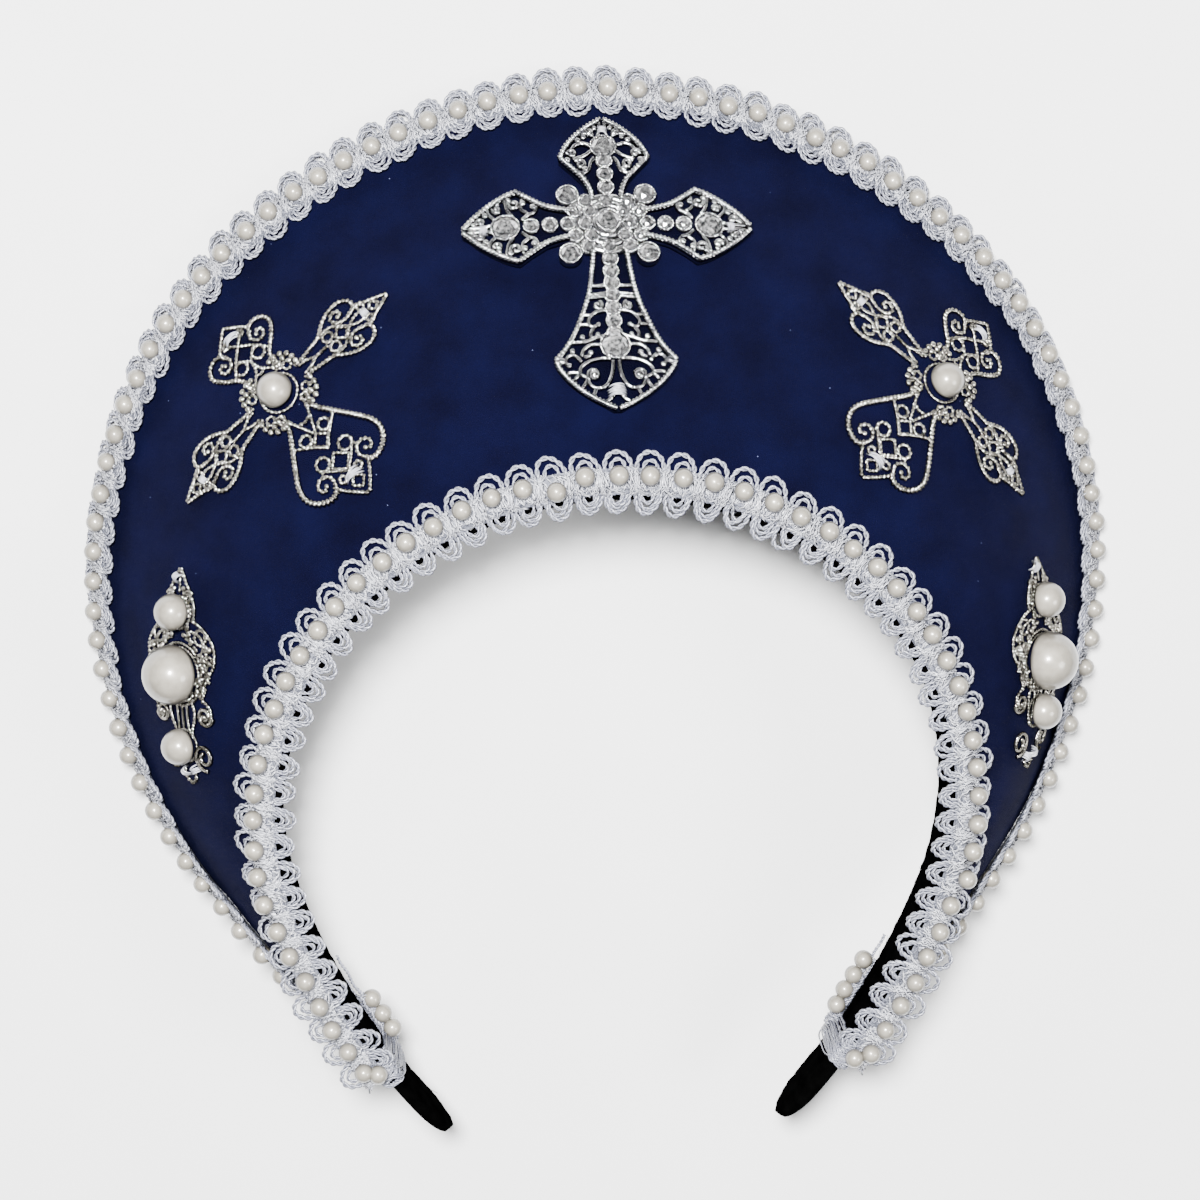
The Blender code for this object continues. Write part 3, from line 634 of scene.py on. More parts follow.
@dataclass(frozen=True)
class HoodForm:
    """The hood's main surfaces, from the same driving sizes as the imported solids."""

    lean: float = 10.5
    centre: tuple[float, float, float] = (0.0, -0.0385, 0.04342)
    band_radius: float = 0.0715
    cheek_radius: float = 0.153
    ear_turn: float = 108.0
    tip_turn: float = 132.0
    band_thick: float = 0.003
    band_front: float = -0.001
    band_back: float = -0.013
    panel_thick: float = 0.0022
    panel_end: float = 120.5
    crown_drop: float = 0.0660
    step_back: float = 0.0006
    seam_gap: float = 0.0006
    sections: tuple[Section, ...] = (
        Section(0.0, 0.0688, 0.0000, 34.0, 50.0), Section(15.0, 0.0670, 0.0000, 33.0, 50.0),
        Section(30.0, 0.0636, -0.0002, 31.0, 52.0), Section(45.0, 0.0584, -0.0004, 28.0, 56.0),
        Section(60.0, 0.0503, -0.0005, 26.0, 59.0), Section(75.0, 0.0407, -0.0005, 26.0, 61.0),
        Section(90.0, 0.0298, 0.0030, 30.0, 63.0), Section(103.0, 0.0195, 0.0104, 38.0, 68.0),
        Section(109.0, 0.0141, 0.0147, 44.0, 74.0), Section(113.0, 0.0094, 0.0170, 50.0, 84.0),
        Section(117.0, 0.0062, 0.0166, 54.0, 92.0), Section(121.0, 0.0060, 0.0154, 54.0, 92.0),
    )

    def table(self) -> np.ndarray:
        """The sections at close turns, one column each, with a smooth run between them."""
        known = np.array([[s.turn, s.reach, s.rise, s.lean_in, s.lean_out] for s in self.sections])
        mirrored = known[1] * np.array([-1, 1, 1, 1, 1])
        rows = np.concatenate([mirrored[None], known, known[-1:]])
        found = []
        for turn in np.arange(0.0, known[-1, 0] + 0.25, 0.5):
            low = int(np.clip(np.searchsorted(known[:, 0], turn), 1, len(known) - 1))
            before, start, end, after = rows[low - 1:low + 3]
            span = end[0] - start[0]
            t = (turn - start[0]) / span
            into = (end - before) / (end[0] - before[0]) * span
            away = (after - start) / (after[0] - start[0]) * span
            found.append([turn, *smooth_run(t, start, into, end, away)[1:]])
        return np.array(found)

    def at(self, turn: np.ndarray) -> tuple[np.ndarray, ...]:
        """The panel's section at turns.

        Args:
            turn: Angles in degrees, on either side.

        Returns:
            Start and end as offset and height, the slopes there, and the chord.
        """
        rows = TABLE
        turn = np.abs(turn)
        reach, rise, lean_in, lean_out = (np.interp(turn, rows[:, 0], rows[:, i]) for i in range(1, 5))
        lean_in, lean_out = np.radians(lean_in), np.radians(lean_out)
        start = np.stack([self.band_thick / 2 + self.seam_gap + self.panel_thick * np.sin(lean_in),
                          np.full_like(lean_in, self.band_front - self.step_back)], -1)
        crown = self.band_radius + self.sections[0].reach
        edge = self.head(turn, reach, 0 * reach)[..., 1]
        drop = self.crown_drop - (crown - edge) * math.tan(math.radians(self.lean)) - rise
        end = np.stack([reach, -drop], -1)
        chord = np.linalg.norm(end - start, axis=-1)
        into = np.stack([np.cos(lean_in), -np.sin(lean_in)], -1) * chord[..., None]
        away = np.stack([np.cos(lean_out), -np.sin(lean_out)], -1) * chord[..., None]
        return start, end, into, away, chord

    def head(self, turn: np.ndarray, offset: np.ndarray, height: np.ndarray) -> np.ndarray:
        """Head-frame points round the face.

        Args:
            turn: Angles in degrees.
            offset: Distances outward from the band's middle.
            height: Heights over the plane of the band's front edge.

        Returns:
            The points.
        """
        turn, offset, height = np.broadcast_arrays(*(np.asarray(v, float) for v in (turn, offset, height)))
        angle, ear = np.radians(np.abs(turn)), math.radians(self.ear_turn)
        out = np.stack([np.sin(angle), np.cos(angle)], -1)
        near = out * (self.band_radius + offset)[..., None]
        cheek = np.array([math.sin(ear), math.cos(ear)]) * (self.band_radius - self.cheek_radius)
        far = cheek + out * (self.cheek_radius + offset)[..., None]
        flat = np.where((np.abs(turn) <= self.ear_turn)[..., None], near, far)
        return np.stack([flat[..., 0] * np.where(turn < 0, -1.0, 1.0), flat[..., 1], height], -1)

    def panel_head(self, turn: np.ndarray, distance: np.ndarray, lift: np.ndarray) -> np.ndarray:
        """Head-frame points on the panel's front.

        Args:
            turn: Angles in degrees.
            distance: Distances from the band, along the chord.
            lift: Heights over the surface.

        Returns:
            The points.
        """
        turn, distance, lift = np.broadcast_arrays(*(np.asarray(v, float) for v in (turn, distance, lift)))
        start, end, into, away, chord = self.at(turn)
        share = np.clip(distance / chord, 0.0, 1.0)[..., None]
        here = smooth_run(share, start, into, end, away)
        along = unit(smooth_run(share + 0.001, start, into, end, away) - here)
        normal = np.stack([-along[..., 1], along[..., 0]], -1)
        here = here + along * (distance - share[..., 0] * chord)[..., None] + normal * lift[..., None]
        return self.head(turn, here[..., 0], here[..., 1])

    def chord(self, turn: np.ndarray) -> np.ndarray:
        """Width of the panel at turns."""
        return self.at(np.asarray(turn, float))[-1]

    def world(self, points: np.ndarray) -> np.ndarray:
        """Head-frame points in the part's frame."""
        lean = math.radians(self.lean)
        x, y, z = points[..., 0], points[..., 1], points[..., 2]
        return np.stack([x, y * math.cos(lean) - z * math.sin(lean),
                         y * math.sin(lean) + z * math.cos(lean)], -1) + np.array(self.centre)

    def band(self, turn: np.ndarray, offset: np.ndarray, height: np.ndarray) -> np.ndarray:
        """Points round the headband, in the part's frame."""
        return self.world(self.head(turn, offset, height))

    def panel(self, turn: np.ndarray, distance: np.ndarray, lift: np.ndarray) -> np.ndarray:
        """Points on the panel's front, in the part's frame."""
        return self.world(self.panel_head(turn, distance, lift))

    def band_middle(self) -> tuple[float, float]:
        """Height of the band's middle, and half its width."""
        return (self.band_front + self.band_back) / 2, (self.band_front - self.band_back) / 2

    def turn_at(self, length: np.ndarray) -> np.ndarray:
        """Turns at lengths along the band's middle from the crown."""
        bend = np.minimum(np.abs(length) / self.band_radius, math.radians(self.ear_turn))
        rest = (np.abs(length) - bend * self.band_radius) / self.cheek_radius
        return np.where(length < 0, -1.0, 1.0) * np.degrees(bend + rest)

    def length_at(self, turn: float) -> float:
        """Length along the band's middle from the crown to a turn past the ear."""
        return (math.radians(self.ear_turn) * self.band_radius
                + math.radians(turn - self.ear_turn) * self.cheek_radius)


FORM = HoodForm()
TABLE = FORM.table()


@dataclass(frozen=True)
class Ruler:
    """Turns at lengths along a line that runs round the hood."""

    turns: np.ndarray
    run: np.ndarray

    @classmethod
    def along(cls, line: Callable[[np.ndarray], np.ndarray], end: float) -> "Ruler":
        """Measures a line given as turn to point, from the crown to an end turn."""
        turns = np.arange(0.0, end + 0.25, 0.25)
        points = line(turns)
        steps = np.linalg.norm(np.diff(points, axis=0), axis=1)
        return cls(turns, np.concatenate([[0.0], np.cumsum(steps)]))

    def turn(self, length: np.ndarray) -> np.ndarray:
        """Turns at signed lengths from the crown, run on past the line's end."""
        size = np.abs(length)
        found = np.interp(size, self.run, self.turns)
        slope = (self.turns[-1] - self.turns[-9]) / (self.run[-1] - self.run[-9])
        found = found + np.maximum(size - self.run[-1], 0.0) * slope
        return np.where(length < 0, -1.0, 1.0) * found


@dataclass(frozen=True)
class Anchor:
    """Where an ornament sits: turn, distance from the band and spin in degrees."""

    turn: float
    distance: float
    spin: float


@dataclass(frozen=True)
class Seat:
    """An ornament's flat drawing plane, wrapped down onto the panel."""

    anchor: Anchor

    def place(self, points: np.ndarray) -> np.ndarray:
        """Wraps drawing points down onto the panel.

        Args:
            points: Points as x, y and lift from the panel.

        Returns:
            The points in the part's frame.
        """
        turn0, distance0 = self.anchor.turn, self.anchor.distance
        origin = FORM.panel_head(turn0, distance0, 0.0)
        along = unit(FORM.panel_head(turn0 + 0.5, distance0, 0.0)
                     - FORM.panel_head(turn0 - 0.5, distance0, 0.0))
        out = unit(FORM.panel_head(turn0, distance0 + 0.0005, 0.0)
                   - FORM.panel_head(turn0, distance0 - 0.0005, 0.0))
        out = np.cross(unit(np.cross(along, out)), along)
        spin = math.radians(self.anchor.spin)
        goal_x = points[..., 0] * math.cos(spin) - points[..., 1] * math.sin(spin)
        goal_y = points[..., 0] * math.sin(spin) + points[..., 1] * math.cos(spin)
        turn = np.full(points.shape[:-1], turn0)
        distance = np.full(points.shape[:-1], distance0)
        for _ in range(6):
            miss = FORM.panel_head(turn, distance, 0.0) - origin
            turn = turn + np.degrees((goal_x - miss @ along) / (FORM.band_radius + distance * 0.7))
            distance = distance + goal_y - miss @ out
        return FORM.panel(turn, distance, points[..., 2])


# Soft pieces


@dataclass
class VelvetPanel:
    """The stiff halo covered in velvet, front and back, with its cloth turned over the edges."""

    steps: int = 220
    rows: int = 22
    edge_rows: int = 5
    slack: float = 0.00014
    slack_size: float = 0.016
    slack_turn: float = 0.0018

    def build(self) -> None:
        """Sweeps a rounded wall section round the face."""
        turns = FORM.turn_at(np.linspace(-1, 1, self.steps + 1) * FORM.length_at(FORM.panel_end))
        half = FORM.panel_thick / 2
        chord = FORM.chord(turns)[:, None]
        share = np.linspace(0.0, 1.0, self.rows + 1)[None]
        bend = np.linspace(0.0, math.pi, self.edge_rows + 2)[1:-1][None]
        inner = np.concatenate([chord * share, chord - half + half * (1 + np.sin(bend)) * 0.98,
                                chord * share[:, ::-1], half * (1 - np.sin(bend)) + 0 * chord], 1)
        lift = np.concatenate([0 * share + 0 * chord, -half + half * np.cos(bend) + 0 * chord,
                               -2 * half + 0 * share + 0 * chord, -half - half * np.cos(bend) + 0 * chord], 1)
        wave = np.zeros_like(inner)
        for i in range(self.steps + 1):
            for j in range(1, self.rows):
                spot = Vector((turns[i] * self.slack_turn, float(inner[i, j]), 0.3)) / self.slack_size
                wave[i, j] = noise.noise(spot) * self.slack
        points = FORM.panel(turns[:, None] + 0 * inner, inner, lift + wave)
        swept(points).build("velvet_panel", VELVET, ("crescent_panel",), 50.0)


@dataclass
class Headband:
    """The band in its black cloth sleeve: a rounded flat section, gathered at the back edge."""

    steps: int = 420
    around: int = 28
    tip_length: float = 0.0105
    gather: float = 0.00022
    gather_pitch: float = 0.0017
    hairs: int = 520
    hair_length: float = 0.0011
    hair_radius: float = 0.00005

    def section(self) -> tuple[np.ndarray, np.ndarray]:
        """The section's points as shares of half the width and half the thickness."""
        return squared_oval(np.arange(self.around) / self.around * math.tau, 0.35, 0.55)

    def build(self) -> None:
        """Sweeps the sleeve and sets the frayed hairs of its back edge."""
        half_length = FORM.length_at(FORM.tip_turn)
        length = np.linspace(-half_length, half_length, self.steps + 1)
        left = (half_length - np.abs(length)) / self.tip_length
        narrow = np.sqrt(np.clip(1 - (1 - np.clip(left, 0, 1)) ** 2, 0.004, 1))[:, None]
        across, through = self.section()
        middle, half = FORM.band_middle()
        crimp = np.zeros((len(length), self.around))
        for i, spot in enumerate(length):
            for j in range(self.around):
                rear = max(0.0, -across[j])
                crimp[i, j] = noise.noise(Vector((spot / self.gather_pitch, j * 0.35, 0.0))) * rear
        height = middle + half * (across[None] * narrow) + crimp * self.gather * 1.6
        offset = FORM.band_thick / 2 * through[None] * (0.55 + 0.45 * narrow) + crimp * self.gather
        turns = FORM.turn_at(length)[:, None] + 0 * height
        shape = swept(FORM.band(turns, offset, height))
        self.fray(shape, half_length)
        shape.build("band_sleeve", TWILL, ("headband",), 60.0)

    def fray(self, shape: Shape, half_length: float) -> None:
        """Adds short stray fibres along the back edge.

        Args:
            shape: What to add them to.
            half_length: Length of the band from the crown to one tip.
        """
        rng = np.random.default_rng(4)
        spot = np.sort(rng.uniform(-half_length * 0.97, half_length * 0.97, self.hairs))
        offset = rng.uniform(-0.7, 0.5, self.hairs) * FORM.band_thick / 2
        share = np.linspace(0, 1, 4)[None, :, None]
        lean = rng.normal(0, 0.6, (self.hairs, 2)) * self.hair_length
        reach = rng.uniform(0.3, 1.0, self.hairs) * self.hair_length
        root = np.stack([spot, offset, np.full(self.hairs, FORM.band_back + 0.0002)], 1)
        tip = root + np.stack([lean[:, 0], lean[:, 1] * 0.5, -reach], 1)
        paths = root[:, None] * (1 - share) + tip[:, None] * share
        paths[..., 0] += (share[..., 0] ** 2) * lean[:, 1:2]
        hairs = Shape()
        tubes(hairs, paths, self.hair_radius, self.hair_radius, 3)
        hairs.moved(lambda p: FORM.band(FORM.turn_at(p[:, 0]), p[:, 1], p[:, 2]))
        shape.add(np.concatenate(hairs.verts), hairs.faces)


@dataclass
class Gimp:
    """Scalloped braid: a crimped middle wrapped between pearls, with nested corded loops each side.

    It is laid out flat, as length along its pearls, distance across it from them and lift.
    """

    name: str
    pearls: np.ndarray
    place: Place
    pitch: float = 0.00645
    pearl_radius: float = 0.0021
    base: tuple[float, float] = (0.0030, 0.0018)
    loop_half: float = 0.0027
    loop_depth: tuple[float, float] = (0.0040, 0.0033)
    shares: tuple[tuple[float, ...], tuple[float, ...]] = ((1.0, 0.73, 0.46), (1.0, 0.52))
    cord: float = 0.00058
    twist: float = 0.0033
    wraps: int = 11
    wrap_points: int = 13
    wrap_radius: float = 0.00022
    weave_step: float = 0.0008
    weave_rows: int = 9
    edge_cord: float = 0.00045
    edge_twist: float = 0.0020
    floss: int = 8
    floss_step: float = 0.0006
    wrap_height: float = 0.0014
    pearl_lift: float = 0.0020
    seed: int = 1

    def loops(self) -> Shape:
        """The nested loops on both sides, one size after the other."""
        rng = np.random.default_rng(self.seed)
        shape = Shape()
        for side, base, depth, shares in zip((-1, 1), self.base, self.loop_depth, self.shares):
            for share in shares:
                count = len(self.pearls)
                points = 8 + int(18 * share)
                bend = np.linspace(-0.12, math.pi + 0.12, points)[None]
                size = rng.normal(1.0, 0.05, (count, 1))
                slip = rng.normal(0.0, 0.00016, (count, 1))
                along = self.pearls[:, None] + slip + np.cos(bend) * self.loop_half * share
                skew = rng.normal(0.0, 0.10, (count, 1))
                reach = np.sin(bend) * depth * share * size
                arch = 0.0003 * np.sin(bend) * rng.normal(1.0, 0.6, (count, 1))
                lift = 0.0006 + arch + 0.0002 * (1 - share)
                paths = np.stack([along + skew * reach, side * (base + reach), lift], -1)
                two_ply(shape, paths, self.cord * (0.62 + 0.38 * share), self.twist,
                        rng.uniform(0, math.tau, count))
        return shape

    def middle(self) -> Shape:
        """The woven middle: a low crinkled strip with its edge cords."""
        rng = np.random.default_rng(self.seed + 7)
        shape = Shape()
        ends = self.pearls[0] - self.pitch * 0.55, self.pearls[-1] + self.pitch * 0.55
        line = np.arange(*ends, self.weave_step)
        across = np.linspace(-self.base[0], self.base[1], self.weave_rows) * 1.05
        grid = np.stack(np.meshgrid(line, across, indexing="ij"), -1)
        lift = 0.00045 + rng.uniform(0, 0.0003, grid.shape[:2])
        lift[:, [0, -1]] -= 0.0004
        top = np.concatenate([grid, lift[..., None]], -1)
        base = top.copy()
        base[..., 2] = -0.0001
        count, rows = grid.shape[:2]
        first = (np.arange(count - 1)[:, None] * rows + np.arange(rows - 1)).reshape(-1, 1)
        quads = first + np.array([0, rows, rows + 1, 1])
        shape.add(top, quads.tolist())
        shape.add(base, quads[:, ::-1].tolist())
        sway = np.arange(*ends, 0.0005)
        for edge in (-self.base[0] + 0.0003, -self.base[0] + 0.0013, self.base[1] - 0.0003):
            cord = np.stack([sway, edge + 0.00012 * np.sin(sway / 0.0011), np.full_like(sway, 0.0007)], -1)
            two_ply(shape, cord, self.edge_cord, self.edge_twist)
        return shape

    def fluff(self) -> Shape:
        """The bright floss over the middle."""
        rng = np.random.default_rng(self.seed + 9)
        shape = Shape()
        self.wrap(shape, rng)
        self.tangle(shape, rng)
        return shape

    def tangle(self, shape: Shape, rng: np.random.Generator) -> None:
        """Adds crimped floss that winds along the braid's middle on both sides of the pearls.

        Args:
            shape: What to add it to.
            rng: Where its random draws come from.
        """
        line = np.arange(self.pearls[0] - self.pitch / 2, self.pearls[-1] + self.pitch / 2, self.floss_step)
        centre, half = (self.base[1] - self.base[0]) / 2, (self.base[1] + self.base[0]) / 2
        thread = self.wrap_radius * 0.95
        for _ in range(self.floss):
            beat = math.tau / self.pitch * rng.uniform(0.7, 2.6)
            start, fast = rng.uniform(0, math.tau, 2)
            spread = 0.62 + 0.26 * np.sin(line * beat * 0.37 + fast)
            crimp = 0.00025 * np.sin(line * 5200 + fast)
            across = centre + half * spread * np.sin(line * beat + start) + crimp
            clear = np.abs(across) < self.pearl_radius * 0.75
            lift = 0.0009 + 0.0004 * np.cos(line * beat * 2 + fast) + 0.00022 * np.sin(line * 6100 + start)
            lift = np.where(clear, np.minimum(lift, 0.0011), lift)
            tubes(shape, np.stack([line, across, lift], -1), thread, thread, 3)

    def wrap(self, shape: Shape, rng: np.random.Generator) -> None:
        """Adds the filaments that cross the braid between its pearls.

        Args:
            shape: What to add them to.
            rng: Where their random draws come from.
        """
        gaps = np.concatenate([self.pearls - self.pitch / 2, self.pearls[-1:] + self.pitch / 2])
        count = len(gaps) * self.wraps
        share = np.linspace(-1, 1, self.wrap_points)[None]
        middle = np.repeat(gaps, self.wraps)[:, None]
        spread = rng.normal(0.0, 0.0007, (count, 1)) + rng.normal(0.0, 0.0006, (count, 1)) * share
        waist = 1.0 + 0.9 * share ** 2
        crimp = 0.00028 * np.sin(share * 13 + rng.uniform(0, math.tau, (count, 1)))
        along = middle + spread * waist + crimp
        centre, half = (self.base[1] - self.base[0]) / 2, (self.base[1] + self.base[0]) / 2
        reach = centre + share * (half + rng.normal(0.0001, 0.0002, (count, 1)))
        top = self.wrap_height * rng.uniform(0.55, 1.0, (count, 1)) * (1 - 0.75 * np.abs(share) ** 2.4)
        lift = 0.0004 + top + 0.00022 * np.cos(share * 15 + rng.uniform(0, math.tau, (count, 1)))
        thread = self.wrap_radius * 1.1
        tubes(shape, np.stack([along, reach, lift], -1), thread, thread, 3)

    def beads(self) -> Shape:
        """The pearls, one to each pitch."""
        rng = np.random.default_rng(self.seed + 3)
        points, faces = ball(3)
        shape = Shape()
        spots = np.stack([self.pearls + rng.normal(0, 0.00015, len(self.pearls)),
                          rng.normal(0, 0.00018, len(self.pearls)),
                          np.full(len(self.pearls), self.pearl_lift + 0.0006)], -1)
        for centre, size in zip(self.place(spots), rng.normal(1.0, 0.015, len(spots))):
            shape.add(centre + points * self.pearl_radius * size, faces)
        return shape

    def build(self, nodes: Sequence[str], pearl_nodes: Sequence[str] = ()) -> None:
        """Makes the loops, the middle, the floss and the pearls.

        Args:
            nodes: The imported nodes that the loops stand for.
            pearl_nodes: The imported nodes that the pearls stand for.
        """
        self.loops().moved(self.place).build(self.name + "_loops", GIMP, nodes)
        self.middle().moved(self.place).build(self.name + "_middle", WEAVE)
        self.fluff().moved(self.place).build(self.name + "_fluff", FLOSS)
        self.beads().build(self.name + "_pearls", PEARL, pearl_nodes)


@dataclass
class FaceBraid:
    """The braid round the face: flat over the band's front edge, then down on the velvet."""

    pearls: int = 57
    pitch: float = 0.00645
    pearls_at: float = 0.0069
    inside: float = -0.0033
    seat: float = 0.0003
    flare_start: float = 103.0
    flare_fade: float = 9.0

    def flat_place(self, turn: np.ndarray, across: np.ndarray, lift: np.ndarray) -> np.ndarray:
        """Points at turns, distances from the braid's face edge and lifts."""
        turn, across, lift = np.broadcast_arrays(*(np.asarray(v, float) for v in (turn, across, lift)))
        flat = FORM.at(turn)[0][..., 0] - self.inside
        near = FORM.band(turn, self.inside + across, FORM.band_front + self.seat + lift)
        far = FORM.panel(turn, across - flat, self.seat + lift)
        far = np.where((across <= flat)[..., None], near, far)
        share = np.clip((np.abs(turn) - self.flare_start) / self.flare_fade, 0.0, 1.0)[..., None]
        return far * (1 - share) + near * share

    def build(self) -> None:
        """Lays the braid along its pearl line."""
        ruler = Ruler.along(lambda t: self.flat_place(t, self.pearls_at, 0.0), 122.5)

        def place(points: np.ndarray) -> np.ndarray:
            """Braid coordinates in the part's frame."""
            turn = ruler.turn(points[..., 0])
            return self.flat_place(turn, points[..., 1] + self.pearls_at, points[..., 2])

        spots = (np.arange(self.pearls) - (self.pearls - 1) / 2) * self.pitch
        Gimp("face_braid", spots, place, self.pitch, seed=11).build(("face_trim",))


@dataclass
class RimBraid:
    """The braid folded over the panel's outer edge; its ends, turned onto the band, are made by BraidEnd."""

    pitch: float = 0.00645
    inset: float = 0.0020
    seat: float = 0.0005
    fold: float = 0.0016
    pearls: int = 82
    floor: float = 0.00012
    flare_end: float = 72.0
    flare_fade: float = 24.0

    def place(self, ruler: Ruler, points: np.ndarray) -> np.ndarray:
        """Lays braid coordinates along the rim.

        Round the crown the outer loops stand out past the panel and rest on the floor. On the cheeks,
        where the rim rises, they fold round its edge.

        Args:
            ruler: Turns at lengths along the pearls.
            points: Points as length, distance across and lift.

        Returns:
            The points in the part's frame.
        """
        turn = ruler.turn(points[..., 0])
        lift = points[..., 2]
        over = points[..., 1] - self.inset
        past = np.minimum(np.maximum(over, 0.0) / self.fold, math.pi * 0.98)
        out = np.minimum(over, 0.0) + (self.fold + lift) * np.sin(past)
        rise = self.seat - self.fold + (self.fold + lift) * np.cos(past)
        folded = FORM.panel(turn, FORM.chord(turn) + out, rise)
        foot = FORM.panel(turn, FORM.chord(turn) + over, self.seat)
        raised = FORM.panel(turn, FORM.chord(turn) + over, self.seat + lift) - foot
        sunk = np.clip((0.0012 - foot[..., 2]) / 0.0012, 0.0, 1.0)[..., None]
        upright = np.stack([0 * lift, 0 * lift, lift], -1)
        foot[..., 2] = np.maximum(foot[..., 2], self.floor)
        flared = foot + raised * (1 - sunk) + upright * sunk
        share = np.clip((np.abs(turn) - self.flare_end) / self.flare_fade, 0.0, 1.0)[..., None]
        spots = flared * (1 - share) + folded * share
        spots[..., 2] = np.maximum(spots[..., 2], self.floor)
        return spots

    def build(self) -> None:
        """Lays the braid along the rim."""
        ruler = Ruler.along(lambda t: FORM.panel(t, FORM.chord(t) - self.inset, self.seat), 120.5)
        spots = (np.arange(self.pearls) - (self.pearls - 1) / 2) * self.pitch
        spots = spots[np.abs(spots) < ruler.run[-1] - 0.001]
        nested = (1.0, 0.64, 0.28)
        braid = Gimp("rim_braid", spots, lambda p: self.place(ruler, p), self.pitch, base=(0.0029, 0.0026),
                     loop_depth=(0.0030, 0.0032), shares=(nested, nested), pearl_lift=0.0014, seed=23)
        braid.build(("rim_trim",), ("rim_pearls",))


@dataclass(frozen=True)
class EdgeStrand:
    """A cord along the band's back edge: where it lies across the band, and how late it starts."""

    offset: float
    height: float
    late: float


@dataclass
class BraidEnd:
    """One end of the rim braid: turned over the band's back edge, then bound round the band."""

    side: int
    node: str
    spots: tuple[tuple[float, float, float], ...]
    start: float = 114.5
    end: float = 122.4
    cord: float = 0.00055
    rounds: int = 7
    round_step: float = 0.32
    bundle: int = 60
    bundle_from: float = 118.2
    bundle_to: float = 122.0
    tangle: int = 70
    floss_radius: float = 0.00018
    pearl_radius: float = 0.0021
    strands: tuple[EdgeStrand, ...] = (
        EdgeStrand(-0.0021, -0.0134, 0.0), EdgeStrand(-0.0026, -0.0124, 3.4),
        EdgeStrand(-0.0030, -0.0116, 4.4), EdgeStrand(-0.0009, -0.0139, 2.4),
        EdgeStrand(-0.0034, -0.0126, 4.0), EdgeStrand(-0.0024, -0.0106, 3.8),
    )

    def around(self, turn: np.ndarray, share: np.ndarray, lift: float) -> np.ndarray:
        """Points on a rounded path round the band's section, at shares of a whole round."""
        across, through = squared_oval(share * math.tau, 0.45, 0.6)
        middle, half = FORM.band_middle()
        return FORM.band(self.side * turn, through * (FORM.band_thick / 2 + lift),
                         middle + across * (half + lift))

    def build(self) -> None:
        """Winds the cords, lays the edge strands and sets the last pearls."""
        hand = "right" if self.side > 0 else "left"
        rng = np.random.default_rng(31 + self.side)
        shape = Shape()
        self.bind(shape, rng)
        self.edge(shape)
        self.tuft(shape, rng)
        shape.build("braid_end_" + hand, GIMP, (self.node,))
        beads = Shape()
        points, faces = ball(3)
        for turn, offset, height in self.spots:
            centre = FORM.band(self.side * turn, offset, height)
            beads.add(centre + points * self.pearl_radius, faces)
        beads.build("end_pearls_" + hand, PEARL)

    def bind(self, shape: Shape, rng: np.random.Generator) -> None:
        """Adds the cord wound round the band."""
        share = np.linspace(0.0, 1.0, 90)
        for i in range(self.rounds):
            sway = 0.3 * np.sin(share * math.tau + i * 1.3)
            turn = self.end + 0.1 + i * self.round_step + sway + rng.normal(0, 0.02, len(share))
            two_ply(shape, self.around(turn, share, 0.0006 + 0.0002 * (i % 2)), self.cord, 0.002)

    def edge(self, shape: Shape) -> None:
        """Adds the cords that run down the band's back edge to the binding."""
        share = np.linspace(0.0, 1.0, 60)
        for strand in self.strands:
            turn = self.start + strand.late + (self.end + 1.2 - self.start - strand.late) * share
            sway = 0.0002 * np.sin(share * 24 + strand.offset * 9000)
            path = FORM.band(self.side * turn, strand.offset + sway, strand.height - sway)
            two_ply(shape, path, self.cord * 0.8, 0.0019)

    def tuft(self, shape: Shape, rng: np.random.Generator) -> None:
        """Adds the loose floss, first coiled under the last pearls and then round the binding.

        Args:
            shape: What to add it to.
            rng: Where its random draws come from.
        """
        for _ in range(self.bundle):
            share = np.linspace(0.0, 1.0, 24)
            bend = share * math.tau * rng.uniform(1.0, 2.5) + rng.uniform(0, math.tau)
            turn = rng.uniform(self.bundle_from, self.bundle_to) + 1.6 * share
            reach = rng.uniform(0.0007, 0.0014)
            floss = FORM.band(self.side * turn, -0.0026 + reach * np.cos(bend),
                              -0.0122 + reach * np.sin(bend))
            tubes(shape, floss, self.floss_radius, self.floss_radius)
        for i in range(self.tangle):
            share = np.linspace(0.0, 1.0, 40) * rng.uniform(0.3, 0.6) + rng.uniform(0, 1)
            turn = rng.uniform(self.end, self.end + 2.0) + 0.5 * np.sin(share * 11 + i)
            floss = self.around(turn, share, rng.uniform(0.0009, 0.0017))
            tubes(shape, floss, self.floss_radius, self.floss_radius)


# Ornaments

Flat = Sequence[Sequence[float]]
PEARL_SEAT = 0.0025
DOME_SHARE = 0.15


def mirrored(line: np.ndarray) -> tuple[np.ndarray, np.ndarray]:
    """A drawing line and its twin across its own long axis."""
    return line, line * np.array([1.0, -1.0])


def circle(x: float, y: float, radius: float, points: int = 20) -> np.ndarray:
    """A closed ring of drawing points."""
    turn = np.arange(points) / points * math.tau
    return np.stack([x + radius * np.cos(turn), y + radius * np.sin(turn)], 1)


def spiral(x: float, y: float, radius: float, start: float, hand: int = 1, turns: float = 1.1) -> np.ndarray:
    """A scroll that winds in round a middle, from a start given in degrees."""
    share = np.linspace(0.0, 1.0, 22)
    angle = math.radians(start) + hand * share * turns * math.tau
    reach = radius * (1.0 - 0.72 * share)
    return np.stack([x + reach * np.cos(angle), y + reach * np.sin(angle)], 1)


